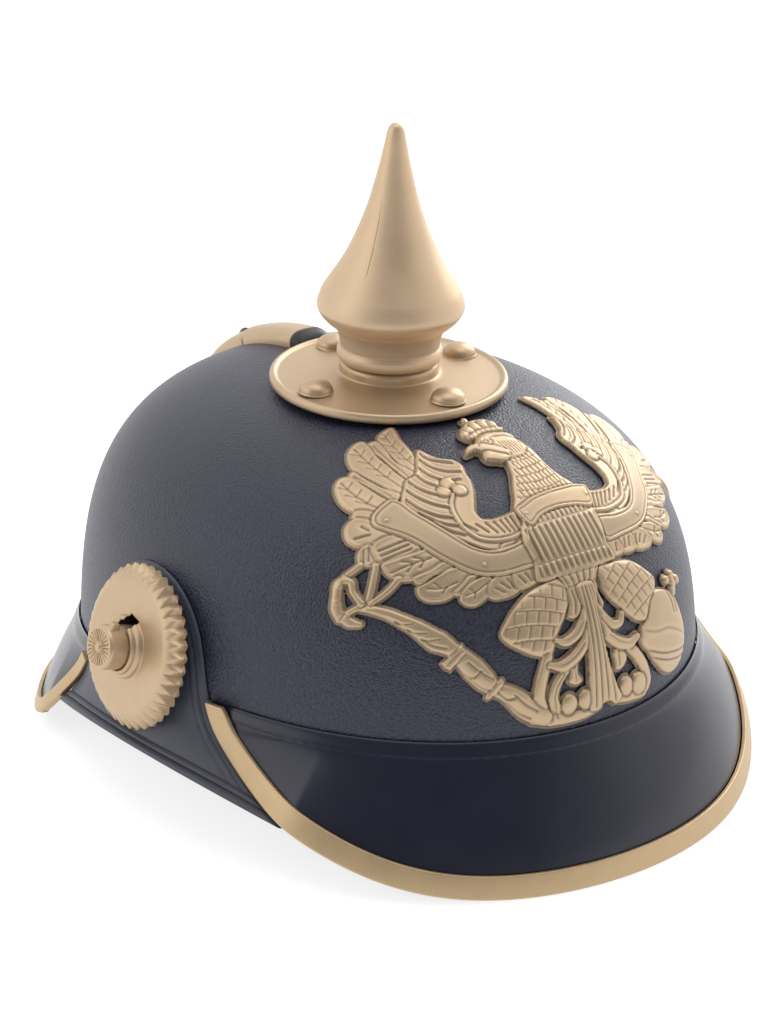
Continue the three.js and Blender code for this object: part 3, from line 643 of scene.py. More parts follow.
# spine: a rounded strip down the back of the crown, with a vent cover over its upper end
spine = {"start": 40.5, "coverEnd": 75.0, "coverWidth": 7.2, "coverHeight": 4.9, "width": 6.7,
         "height": 4.1, "seat": 0.3, "mouth": 6.0, "nubAt": 82.2, "nubSize": 1.9, "nubHeight": 1.5,
         "foot": -96.0, "grooveWidth": 0.6, "grooveIn": 1.0, "grooveDown": 1.6, "grooveShade": 0.9,
         "section": [[-1, -0.15, 0], [-1, 0.0, 0], [-1.0, 0.55, 0.3], [-0.62, 1.0, 0.45], [0, 1.06, 0.5],
                     [0.62, 1.0, 0.45], [1.0, 0.55, 0.3], [1, 0.0, 0], [1, -0.15, 0]]}


def makeSpine():
    foot = float(crownRadius(spine["foot"])) * crown["stretch"]
    t = np.linspace(0, 1, 150)
    y = spine["start"] + (foot - spine["start"]) * np.sin(t * math.pi / 2) ** 0.9
    y = np.unique(np.concatenate([y, spine["coverEnd"] + np.linspace(-1.2, 1.2, 25),
                                  spine["start"] + np.linspace(0, 1, 24) ** 2 * spine["mouth"],
                                  spine["nubAt"] + np.linspace(-2, 2, 15)]))
    z = crownHeight(np.minimum(y, foot - 1e-3) / crown["stretch"])
    middle = onCrown(np.zeros(len(y)), z, 1, np.zeros(len(y)))
    normal = crownNormal(middle)
    onStrip = ease(spine["coverEnd"] - 0.15, spine["coverEnd"] + 0.15, y)
    groove = bell(y - spine["coverEnd"] - 0.2, spine["grooveWidth"])
    half = spine["coverWidth"] + (spine["width"] - spine["coverWidth"]) * onStrip
    half = half - spine["grooveIn"] * groove
    high = spine["coverHeight"] + (spine["height"] - spine["coverHeight"]) * onStrip
    high = high - spine["grooveDown"] * groove
    # the cover's dark mouth rounds down to the crown
    entry = np.clip((y - spine["start"]) / spine["mouth"], 0, 1)
    dome = roundTop(1 - entry)
    high = high * (0.15 + 0.85 * dome)
    half = half * (0.7 + 0.3 * dome)
    section = rounded(spine["section"], 8)
    sideways, rise = section[:, 0][None, :], section[:, 1][None, :]
    side = sideways * half[:, None]
    # the foot follows the crown's roundness from side to side: a parabola
    sag = side ** 2 / 150
    up = spine["seat"] + rise * high[:, None] - sag * (rise < 0.3)
    # a small round nub stands on the strip
    far = np.hypot(side, (y - spine["nubAt"])[:, None]) / spine["nubSize"]
    nub = roundTop(far) * (rise > 0.9)
    up = up + spine["nubHeight"] * nub
    grid = middle[:, None] + np.stack([side, 0 * side, 0 * side], -1) + normal[:, None] * up[..., None]
    # painted shade: the cover's open mouth and the groove at its end are painted dark for the shade inside
    # them; the nub is dark in its own colour
    mouth = 1 - ease(spine["mouth"] - 1.0, spine["mouth"] - 0.4, y - spine["start"])
    dark = np.maximum(mouth, spine["grooveShade"] * groove ** 2)
    shade = np.maximum(dark[:, None], spine["grooveShade"] * (nub > 0))
    faces = tubeFaces(*grid.shape[:2])
    makePiece("spine_strip", grid, faces, goldFinish, ["rear_spine"], shade=shade, sharp=45)


makeSpine()

# side flaps: rows bowed from the front peak's edge to the rear peak's, under a round arch
flap = {"centreY": -5.5, "centreZ": -69.5, "arch": 27.5, "archTurn": 52.0, "wall": 2.0, "seat": 0.6,
        "gap": 1.8, "flareTop": -62.0, "flare": 0.18, "lift": 1.15, "rows": 100, "columns": 85,
        "edgeRoll": 0.6, "edgeDrop": 0.5, "thinFrom": (-84, -74), "darkest": 0.85,
        "lines": ((2.4, 1.0), (4.4, 0.7)), "lineWidth": 0.3, "lineDepth": 0.4, "lineShade": 0.45,
        "rim": 4.4, "steps": ((1.5, 0.55), (3.3, 0.4)), "stepWidth": 0.35,
        "grooves": ((2.15, 1.0), (3.95, 0.8)), "grooveWidth": 0.36, "grooveDepth": 0.5}


def flapReach(y, z):
    # how far out the flap's face lies where it sits on the crown's oval
    r = crownRadius(z)
    oval = r / crown["stretch"] * np.sqrt(1 - (y / (r * crown["stretch"])) ** 2)
    return oval + flap["seat"] + flap["wall"]


def flapEdge(key, way):
    # down the arch, then along the peak's edge to the flap's lower corner
    turn = np.radians(np.linspace(0.5, flap["archTurn"], 24))
    y = flap["centreY"] + way * flap["arch"] * np.sin(turn)
    z = flap["centreZ"] + flap["arch"] * np.cos(turn)
    arch = np.stack([-flapReach(y, z), y, z], -1)
    peak = peaks[key]
    point, _, _, off = peakEdge(peak, -1.0)
    last = peakPoint(peak, -1 + peak["endShare"] * peak["flapShare"], 1)
    count = int(np.argmin(np.linalg.norm(point - last, axis=-1)))
    line = (point + off * flap["gap"])[8:count]
    line[:, 0] = np.minimum(line[:, 0], -flapReach(line[:, 1], line[:, 2]))
    corners = np.concatenate([arch, line[::max(count // 12, 1)], line[-1:]])
    joined = relaxed(smoothThrough(corners, 240), 60)
    # rows crowd together towards the lower edge, where the rim is fine
    s = np.linspace(0, 1, flap["rows"])
    share = s * (1.8 - 0.8 * s) * (len(joined) - 1)
    return np.stack([np.interp(share, np.arange(len(joined)), column) for column in joined.T], -1)


def makeFlap(name, side):
    front, back = flapEdge("front", -1), flapEdge("rear", 1)
    s = np.linspace(0, 1, flap["columns"])[None, :]
    w = s - 0.8 * np.sin(2 * math.pi * s) / (2 * math.pi)
    belly = 4 * w * (1 - w)
    middle = (front[:, 2] + back[:, 2]) / 2
    flare = flap["flare"] * np.maximum(0, flap["flareTop"] - middle)
    bow = crownRadius(middle) / crown["stretch"] + flap["seat"] + flap["wall"] + flare
    bow = bow + (front[:, 0] + back[:, 0]) / 2
    grid = front[:, None] + (back - front)[:, None] * w[..., None]
    grid[..., 0] -= bow[:, None] * belly
    grid[..., 2] += flap["lift"] * flare[:, None] * belly
    # a fine double line follows the arch and both sides, and a stepped rim with grooves the lower edge
    fromEdge = fromLine(grid, np.concatenate([front[::-1], back])[::2])[0]
    fromFoot = fromLine(grid, grid[-1, ::2])[0]
    lines = sum(share * bell(fromEdge - far, flap["lineWidth"]) for far, share in flap["lines"])
    lines = lines * (fromFoot > flap["rim"])
    grooves = sum(share * bell(fromFoot - far, flap["grooveWidth"]) for far, share in flap["grooves"])
    steps = sum(high * (1 - ease(far, far + flap["stepWidth"], fromFoot)) for far, high in flap["steps"])
    nearest = np.minimum(fromEdge, fromFoot)
    soft = flap["edgeDrop"] * (1 - roundTop(1 - np.minimum(nearest / flap["edgeRoll"], 1)))
    # the arch thins to a fine edge on the crown
    thin = lapEdge["thin"] * (1 - ease(0, lapEdge["over"], fromEdge))
    soft = soft + thin * ease(*flap["thinFrom"], grid[..., 2])
    outer, inner = grid.copy(), grid.copy()
    outer[..., 0] -= steps - flap["grooveDepth"] * grooves - flap["lineDepth"] * lines - soft
    inner[..., 0] += flap["wall"]
    both = np.concatenate([outer, inner[::-1]])
    both[..., 0] *= -side
    # painted shade: the rim's grooves and the fine lines are darkened, for the shade that falls in them
    dark = np.clip(flap["darkest"] * grooves + flap["lineShade"] * lines, 0, flap["darkest"])
    shade = np.concatenate([dark, np.zeros_like(dark)])
    rows, columns = both.shape[:2]
    faces = gridFaces(rows, columns, True, False)
    # the two long sides are closed between the skins
    k = np.arange(rows // 2 - 1)
    pair = rows - 1 - k
    for column in (0, columns - 1):
        strip = np.stack([k * columns, (k + 1) * columns, (pair - 1) * columns, pair * columns], -1)
        faces += (strip + column).tolist()
    makePiece("flap_" + name, both, faces, flapFinish, ["side_flap_" + name], shade=shade,
              sharp=35)


# rosettes: a disc with a fluted band, a stepped boss and a keyhole over the strap's knob
rosette = {"seat": 97.3, "centreY": -8.55, "centreZ": -65.7, "yaw": 0.9, "tilt": 14.8, "radius": 25.55,
           "field": 21.4, "drop": 3.8, "flutes": 40, "valley": 2.3, "bite": 1.7, "keyTurn": 9.5,
           "thickness": 1.6, "bandRoll": 1.6, "bandPower": 1.7, "notch": 2.1, "notchTop": 10.0,
           "notchFoot": 6.0, "notchFloor": 0.3, "backWall": 1.3,
           "boss": [[7.2, -1.0, 0], [7.2, 3.3, 0.3], [7.9, 3.5, 0.35], [8.45, 3.1, 0.5], [8.5, 1.9, 0.25],
                    [8.9, 1.75, 0.3], [9.5, 1.45, 0.5], [9.75, 0.25, 0.3], [10.0, 0.02, 0.2], [10.4, 0, 0]]}
knob = {"radius": 6.92, "length": 15.2, "rays": 24, "rayDepth": 0.5, "nub": 1.4, "nubHeight": 0.7,
        "tabHalfWidth": 1.1, "tabHalfLength": 1.2, "tabAt": 11.9, "tabGrowth": 0.22}


def rosetteFrame(side, points):
    # the disc's own frame: along is out of the helmet's side, up is near the helmet's up
    yaw, tilt = math.radians(rosette["yaw"]), math.radians(rosette["tilt"])
    out = unit(np.array([side * math.cos(yaw), -math.sin(yaw), math.tan(tilt)]))
    across = unit(np.cross([0, 0, 1], out))
    up = np.cross(out, across)
    centre = np.array([side * rosette["seat"], rosette["centreY"], rosette["centreZ"]])
    return centre + points[..., :1] * across + points[..., 1:2] * up + points[..., 2:] * out


def keyFrame(side, x, y):
    # how far a point of the disc's face lies beside and above its middle, turned with the keyhole
    turn = math.radians(rosette["keyTurn"]) * -side
    return x * math.cos(turn) - y * math.sin(turn), y * math.cos(turn) + x * math.sin(turn)


def ridges(angles, count):
    # a zigzag round a full turn: 1 in the valleys, 0 on the crests
    return np.abs((angles * count / (2 * math.pi)) % 1 - 0.5) * 2


def makeRosette(name, side):
    angles = fullTurn(rosette["flutes"] * 8)[None, :]
    face = rosette["thickness"] + rosette["drop"]
    field, radius = rosette["field"], rosette["radius"]
    boss = rounded(rosette["boss"], 5) + [0, face]
    level = np.concatenate([np.linspace(10.5, 11.4, 8), np.linspace(12.5, field - 1.8, 6)])
    flat = np.stack([level, np.full(level.shape, face)], -1)
    share = np.linspace(0, 1, 34)
    # the band rolls down from the field to the rim
    bandRadius = field - rosette["bandRoll"] + (radius - field + rosette["bandRoll"]) * share
    band = np.stack([bandRadius, face - rosette["drop"] * share ** rosette["bandPower"]], -1)
    profile = np.concatenate([boss, flat, band])
    r, z = profile[:, 0][:, None] + 0 * angles, profile[:, 1][:, None] + 0 * angles
    # flutes: valleys cut between the crests, deeper and wider down the band
    gable = ridges(angles, rosette["flutes"])
    grow = np.clip((r - field + 1.5) / (radius - field + 1.5), 0, 1)
    cut = np.maximum(gable - 0.95 * (1 - grow), 0)
    reach = np.clip((r - field) / (radius - field), 0, 1)
    z = z - rosette["valley"] * cut * grow
    r = r - rosette["bite"] * gable * reach ** 2
    # the keyhole, cut through boss and face above the knob
    x, y = r * np.sin(angles), r * np.cos(angles)
    beside, above = keyFrame(side, x, y)
    gap = np.minimum(rosette["notch"] - np.abs(beside), rosette["notchTop"] - above)
    gap = np.minimum(gap, above - rosette["notchFoot"])
    inKey = ease(-0.2, 0.2, gap)
    z = z * (1 - inKey) + rosette["notchFloor"] * inKey
    front = np.stack([x, y, z], -1)
    pick = np.unique(np.r_[np.arange(0, len(profile), 6), len(profile) - 1])[::-1]
    behind = np.minimum(z - rosette["backWall"], face - rosette["thickness"])
    back = np.stack([x, y, behind], -1)[pick]
    grid = np.concatenate([front, back])
    grid[..., 2] = np.maximum(grid[..., 2], 0.05)
    # painted shade: the keyhole's floor and walls are painted near black, for the shade inside the hole
    dark = ease(-0.55, -0.3, gap)
    shade = np.concatenate([dark, dark[pick]])
    faces = gridFaces(*grid.shape[:2], True, True)
    makePiece("rosette_" + name + "_disc", rosetteFrame(side, grid), faces, goldFinish,
              ["rosette_" + name], shade=shade, sharp=24)


def makeKnob(name, side):
    angles = fullTurn(knob["rays"] * 8)[None, :]
    r, long = knob["radius"], knob["length"]
    wall = [[r, 10.0 + 0.2 * k, 0] for k in range(17)]
    foot = [[0, 0, 0], [r - 0.3, 0, 0.2], [r - 0.3, 4.0, 0.3], [r, 5.0, 0.5]]
    lip = [[r, long - 0.8, 0.4], [r - 0.45, long - 0.1, 0.35], [r - 0.95, long, 0]]
    profile = rounded(foot + wall + lip, 5)
    t = np.linspace(0, 1, 30)[1:]
    end = np.stack([(r - 0.95) * (1 - t), np.full(t.shape, long)], -1)
    profile = np.concatenate([profile, end])
    radius, z = profile[:, 0][:, None] + 0 * angles, profile[:, 1][:, None] + 0 * angles
    # rays cut into the end face, round a small nub
    onFace = (np.arange(len(profile)) >= len(profile) - len(end) - 1)[:, None]
    ray = ease(0.35, 0.85, ridges(angles, knob["rays"]))
    groove = knob["rayDepth"] * ray * ease(1.3, 2.4, radius) * (1 - ease(r - 1.5, r - 1.1, radius))
    nub = knob["nubHeight"] * roundTop(radius / knob["nub"])
    z = z + onFace * (nub - groove)
    grid = np.stack([radius * np.sin(angles), radius * np.cos(angles), z], -1)
    # the small square tab on top of the post
    beside = np.abs(keyFrame(side, grid[..., 0], grid[..., 1])[0])
    onTab = ease(-0.2, 0.2, knob["tabHalfWidth"] - beside)
    onTab = onTab * ease(-0.25, 0.25, knob["tabHalfLength"] - np.abs(z - knob["tabAt"]))
    onTab = onTab * (radius > r - 0.4) * (grid[..., 1] > 4)
    grid[..., :2] *= 1 + knob["tabGrowth"] * onTab[..., None]
    faces = gridFaces(len(profile), angles.size, False, True)
    makePiece("knob_" + name + "_post", rosetteFrame(side, grid), faces, goldFinish,
              ["knob_" + name], sharp=42)


for sideName, sideWay in {"right": -1, "left": 1}.items():
    makeFlap(sideName, sideWay)
    makeRosette(sideName, sideWay)
    makeKnob(sideName, sideWay)

# eagle: a relief drawn in the badge's own plane, across and up from its foot, then laid on the crown
badge = {"tilt": 40.0, "foot": -125.0, "cell": 0.286, "low": (-72.0, -3.0), "high": (62.5, 105.5),
         "flange": 0.6, "ledge": 0.8, "under": 0.35, "relief": 0.66, "groove": 0.3, "rimAt": 0.6,
         "shade": 0.13, "hollowShade": 3.6, "shadeRange": (0.02, 0.62), "ribbonShade": 0.15,
         "blurs": 12,
         "parts": {"left_wing": (-72.0, -13.0), "body": (-13.0, 13.0), "right_wing": (13.0, 62.5)}}


def softLine(rows):
    # a smooth line through three points or more, a straight one through two
    return smoothThrough(rows, 8 * len(rows)) if len(rows) > 2 else np.asarray(rows, float)


class Relief:
    # a height field: shapes are laid over one another, each with its own top, and lines are added on them
    def __init__(self):
        spans = [np.arange(low, high, badge["cell"]) for low, high in zip(badge["low"], badge["high"])]
        self.place = np.stack(np.meshgrid(*spans, indexing="ij"), -1)
        self.height = np.full(self.place.shape[:2], badge["ledge"])
        self.cover = np.full(self.place.shape[:2], -9.0)
        # painted shade laid on shapes, so far only on the ribbons
        self.tone = np.zeros(self.place.shape[:2])

    def part(self, rows, margin):
        low = (rows.min(0) - margin - badge["low"]) / badge["cell"]
        high = (rows.max(0) + margin - badge["low"]) / badge["cell"]
        a, b = np.maximum(low, 0).astype(int), np.maximum(high, 0).astype(int) + 2
        return np.s_[a[0]:b[0], a[1]:b[1]]

    def within(self, rows, part):
        # signed distance from a closed outline, above 0 inside it
        p = self.place[part]
        loop = np.vstack([rows, rows[:1]])
        far = fromLine(p, loop)[0]
        odd = np.zeros(far.shape, bool)
        for (x0, y0), (x1, y1) in zip(loop[:-1], loop[1:]):
            crosses = (y0 > p[..., 1]) != (y1 > p[..., 1])
            rise = y1 - y0 if y1 != y0 else 1e-9
            odd ^= crosses & (p[..., 0] < x0 + (p[..., 1] - y0) * (x1 - x0) / rise)
        return np.where(odd, far, -far)

    def lay(self, part, depth, top):
        # the shape's top covers what lies beneath, behind a soft edge, and a fine groove runs round it
        groove = badge["groove"] * bell(depth + 0.28, 0.25) * (self.cover[part] > 0.4)
        under = self.height[part] - groove
        over = ease(-0.22, 0.3, depth)
        self.height[part] = under + (top - under) * over
        self.tone[part] *= 1 - over
        self.cover[part] = np.maximum(self.cover[part], depth)

    def shape(self, rows, base, dome, roll, rim=0.0, soft=True):
        # a closed outline whose top rolls up from its edge, with a line raised along it by rim
        rows = np.asarray(rows, float)
        if soft:
            length = np.linalg.norm(np.diff(rows, axis=0), axis=1).sum()
            rows = smoothThrough(rows, int(length / 0.7), closed=True)
        part = self.part(rows, 2.0)
        depth = self.within(rows, part)
        swell = roundTop(1 - np.clip(depth / roll, 0, 1))
        edge = rim * bell(depth - badge["rimAt"], 0.3)
        self.lay(part, depth, base + dome * swell + edge)
        return part, depth

    def stroke(self, rows, widths, base, dome):
        # a bar whose half-width changes along its line, rounded across
        rows = softLine(rows)
        part = self.part(rows, np.max(widths) + 1.5)
        far, along = fromLine(self.place[part], rows)
        half = np.interp(along, np.linspace(0, 1, len(widths)), widths)
        self.lay(part, half - far, base + dome * roundTop(far / np.maximum(half, 0.1)))

    def ridge(self, rows, width, size):
        # a rounded line raised (or cut, where size is below 0) into what is there
        rows = softLine(rows)
        part = self.part(rows, 3 * width)
        far = fromLine(self.place[part], rows)[0]
        self.height[part] += size * bell(far, width) * (self.cover[part] > 0.3)

    def around(self, x, y, reach):
        # the cells round a point, and their distance from it
        part = self.part(np.array([[x, y]]), reach)
        return part, np.linalg.norm(self.place[part] - (x, y), axis=-1)

    def dot(self, x, y, radius, size):
        part, far = self.around(x, y, radius + 1)
        self.height[part] += size * roundTop(far / radius)

    def ball(self, x, y, radius, base, dome):
        part, far = self.around(x, y, radius + 1.5)
        self.lay(part, radius - far, base + dome * roundTop(far / radius))


def wingPlace(side, rows):
    # rows are distance out from the badge's middle line, and height over its foot
    out, up = np.moveaxis(np.asarray(rows, float), -1, 0)
    if side < 0:
        return np.stack([0.4 - 0.965 * out, up - 0.7 * ease(88, 96, up)], -1)
    # the right wing stands further from the neck, is narrower at its tips and sits higher on the chest
    wider = 7 * ease(56, 72, up) * np.maximum(1 - (out - 16.7) / 25, 0) - 0.06 * np.maximum(out - 41.7, 0)
    higher = 2.2 * (1 - ease(48, 60, up)) * (0.4 + 0.6 * ease(12, 26, out)) - 0.9 * ease(88, 100, up)
    return np.stack([out + wider, up + higher], -1)


def drawWing(relief, side):
    def out(rows):
        return wingPlace(side, rows)
    feathers = [
        [(23, 102.8), (27, 102.2), (30, 100.8), (31.8, 97), (32.6, 90), (31.5, 82), (28, 84), (27, 88),
         (26, 92), (24.8, 98)],
        [(32.1, 99.7), (34.8, 99.4), (35.4, 92), (35.1, 86), (33.8, 80), (31.5, 82), (32.8, 90)],
        [(35.2, 101), (38, 100.7), (41, 99.2), (43.5, 96.6), (45, 93), (44, 88), (42, 83), (40, 78),
         (35, 78), (35.4, 86), (35.8, 93)],
        [(45.2, 91.4), (47.5, 89.8), (46, 86), (44, 81), (42, 76.5), (39.5, 78), (42.3, 83), (44.2, 88)],
        [(47.4, 90), (50, 90.3), (52.5, 88.5), (54.2, 85.4), (54.7, 81), (53.6, 78), (51, 76), (46, 74),
         (43.2, 76.5), (44.6, 81), (46.1, 86)],
        [(54.6, 77.4), (53.4, 78.4), (48.5, 75), (50, 72.8)],
        [(54.4, 76.4), (57.4, 75.2), (59, 72.6), (59.1, 69.5), (57.6, 67.4), (54.5, 66.6), (48, 67),
         (50, 73)],
        [(57.2, 67.2), (59.4, 62.7), (57, 60.8), (53.5, 65.5), (54.5, 67)],
        [(54.8, 66.2), (55, 60), (44, 59.6), (44, 66)],
        [(55, 60.2), (54.9, 57.4), (53.6, 55), (51, 53.2), (48.5, 52.7), (44, 53.2), (39, 54.4),
         (40, 59.6), (46, 60.2), (51, 60.4)],
        [(49.4, 53), (48.6, 51), (44, 51.8), (38, 52), (39, 54.6), (44, 53.8)],
        [(49.2, 50.4), (49.6, 48.4), (48.4, 46), (46, 44.6), (43.4, 44.1), (40.5, 44.8), (37, 46.5),
         (34, 48), (35, 51), (39, 52.2), (43, 51.6), (46.4, 50.9)],
        [(41.2, 45.2), (40, 44), (36, 45.5), (33, 48), (35, 48.5), (38, 46.8)],
        [(39.9, 42.8), (39, 40.9), (37, 39.8), (35, 39.9), (32.5, 40.9), (29, 43), (30, 46.5), (34, 46.8),
         (37.5, 45.6), (39.2, 44.4)],
        [(32.4, 41), (31, 39.6), (28, 38.9), (25.4, 38.8), (23, 39.6), (22, 45), (28, 46), (31.5, 43.6)],
        [(23.6, 39.9), (21, 39.3), (18.5, 39.6), (16.6, 40.3), (15, 46), (23, 46)],
        [(17.2, 40.2), (15, 39.7), (12, 40.2), (11, 46), (16, 46)],
    ]
    for rows in feathers:
        relief.shape(out(rows), base=1.35, dome=0.5, roll=1.3, rim=0.28)
    # quills and barbs
    for rows in [[(27.5, 101), (29, 96), (29.6, 90), (29.2, 84)],
                 [(39.2, 99), (39.6, 92), (38.8, 85), (37.5, 80)],
                 [(50.5, 88.5), (50.2, 84), (48.6, 79), (46.8, 76)], [(33.7, 98), (34.2, 91), (33.6, 83)],
                 [(46.2, 89.5), (44.6, 84.5), (42, 79)]]:
        relief.ridge(out(rows), 0.28, -0.35)
    barbs = [(28, 99.5), (28.6, 96), (28.8, 92.5), (28.6, 89), (38.9, 96), (39, 92.5), (38.6, 89),
             (38, 85.5), (49.8, 86), (49.4, 82.6), (48.3, 79.4)]
    for x, y in barbs:
        relief.ridge(out([(x + 0.4, y), (x - 1.9, y + 1.5)]), 0.27, -0.26)
        relief.ridge(out([(x + 0.8, y), (x + 2.6, y + 1.7)]), 0.27, -0.26)
    for y in (61.2, 62.7, 64.3):
        relief.ridge(out([(53.6, y), (46, y + 0.2)]), 0.3, -0.5)
    for x in (0, 1.3):
        relief.ridge(out([(56.6 - x, 66.6), (58.3 - x, 62.6)]), 0.28, -0.4)
    leafMarks = [[(57.2, 70.3), (53.4, 69.8)], [(54, 73), (53, 71.2)],
                 [(49.8, 59), (47.6, 57.4), (49.6, 55.6)], [(46.4, 58.8), (44.6, 57.2), (46.2, 55.4)],
                 [(53.4, 57), (49, 57.2), (42.5, 57)], [(46.6, 49), (44, 47.8), (39, 47.8)],
                 [(44.6, 49.8), (43.4, 48)], [(43.6, 46.2), (42, 47.6)],
                 [(38, 43.4), (35.4, 43.4), (31.5, 44.6)], [(36.4, 44.8), (35.4, 43.4), (36, 41.8)],
                 [(29.6, 42.6), (27.6, 40.6)], [(27.6, 43.4), (25.6, 41)], [(25.4, 43.8), (24.2, 41)],
                 [(21.8, 43.6), (20.6, 41.2)], [(19.6, 43.8), (18.6, 41.2)], [(15.4, 43.6), (14.6, 41.4)]]
    for rows in leafMarks:
        relief.ridge(out(rows), 0.32, -0.5)
    coverts = [(24, 91.7), (22.6, 88.5), (20.2, 85.4), (17.6, 84), (16.7, 82), (18, 78), (18.2, 76.4),
               (19.5, 73), (22, 68.8), (24, 65), (23.7, 63.2), (22, 62.3), (17, 61.9), (12, 62.4),
               (12, 52), (20, 51.6), (26, 53), (31.5, 57.5), (35.5, 63), (39, 69), (41, 76), (38, 79.4),
               (35.2, 82.2), (31.6, 83.2), (28.5, 86.6), (25.7, 90.2)]
    relief.shape(out(coverts), base=1.7, dome=0.5, roll=1.4, rim=0.3)
    scales = [[(24.3, 90), (23.8, 87.4), (21.6, 85.4), (18.6, 83.6)],
              [(26.2, 88), (25.2, 84.4), (22.6, 81.6), (18.6, 80)],
              [(28.6, 85.4), (27.6, 81.6), (25.2, 78.8), (20.5, 77.6)],
              [(31, 83.4), (30.2, 80), (28.6, 77.8)],
              [(34.4, 81.8), (33.2, 78.4), (31, 75.6), (28.9, 74)],
              [(36.8, 79.2), (35.2, 75.4), (32.6, 72), (29.6, 69.8)],
              [(38.8, 76.4), (37, 72), (34.2, 68.6), (30.6, 66.4)],
              [(38.4, 71.4), (35.8, 67.6), (33.2, 65), (30.6, 63.6)],
              [(36, 66.6), (33.6, 63), (30.4, 60.4)]]
    for rows in scales:
        relief.ridge(out(rows), 0.42, 0.5)
        relief.ridge(out(np.array(rows) + (0.45, -0.65)), 0.36, -0.55)
    for x, y in ((28.1, 74.7), (25.4, 76.8), (23.8, 73.6)):
        relief.ball(*out((x, y)), 2.0, base=2.3, dome=0.7)
    relief.dot(*out((25.9, 74.8)), 0.6, -0.6)
    cord = [(26.4, 73), (29, 70), (30.2, 65.6), (29.6, 61), (27.6, 57.6), (24, 55.6), (18, 54.8),
            (13, 55.8)]
    relief.stroke(out(cord), [0.5, 0.55, 0.6, 0.6, 0.6], base=2.2, dome=0.5)
    for k in range(7):
        share = k / 6
        top = (15.2 + 10.6 * share + 3.6 * share ** 3, 61 - 0.6 * share + 2.6 * share ** 4)
        foot = (15 + 8.6 * share + 3.4 * share ** 3, 56.4 + 0.2 * share + 3.2 * share ** 3)
        relief.ridge(out([top, foot]), 0.34, -0.6)
    for x, y in ((18.6, 53.2), (23.4, 53.7)):
        relief.ridge(out([(x, y - 0.4), (x - 1.2, y + 0.5)]), 0.4, -0.4)
    ribbon = [(51.2, 72), (49.6, 69.4), (46.6, 66), (44, 62.3), (41.5, 57.6), (39, 54), (36, 50.5),
              (33, 47.8), (29, 46), (25, 45.2), (20, 45), (12, 45.6), (12, 53.2), (20, 52.6), (24, 52.6),
              (27.2, 53.6), (30.2, 55.8), (32.6, 59), (35.2, 63.6), (37.6, 68), (39.6, 72), (41, 76.3),
              (42.6, 78), (45, 77.4), (48, 76.2), (50.5, 74.4)]
    part, depth = relief.shape(out(ribbon), base=2.3, dome=0.3, roll=0.7)
    relief.height[part] -= 0.45 * bell(depth - 1.0, 0.24)
    # painted shade: the ribbon, a flat band that faces the light, is darkened to match the feathers
    relief.tone[part] += badge["ribbonShade"] * ease(0, 0.6, depth)
    for x, y in ((47.6, 72), (30, 49.8)):
        relief.dot(*out((x, y)), 0.6, 0.4)


def headPlace(rows):
    # the head is a little narrower than drawn, and sits lower towards its crown
    x, y = np.moveaxis(np.asarray(rows, float), -1, 0)
    return np.stack([0.35 + 0.82 * x, y - 1.7 * ease(83, 91, y)], -1)


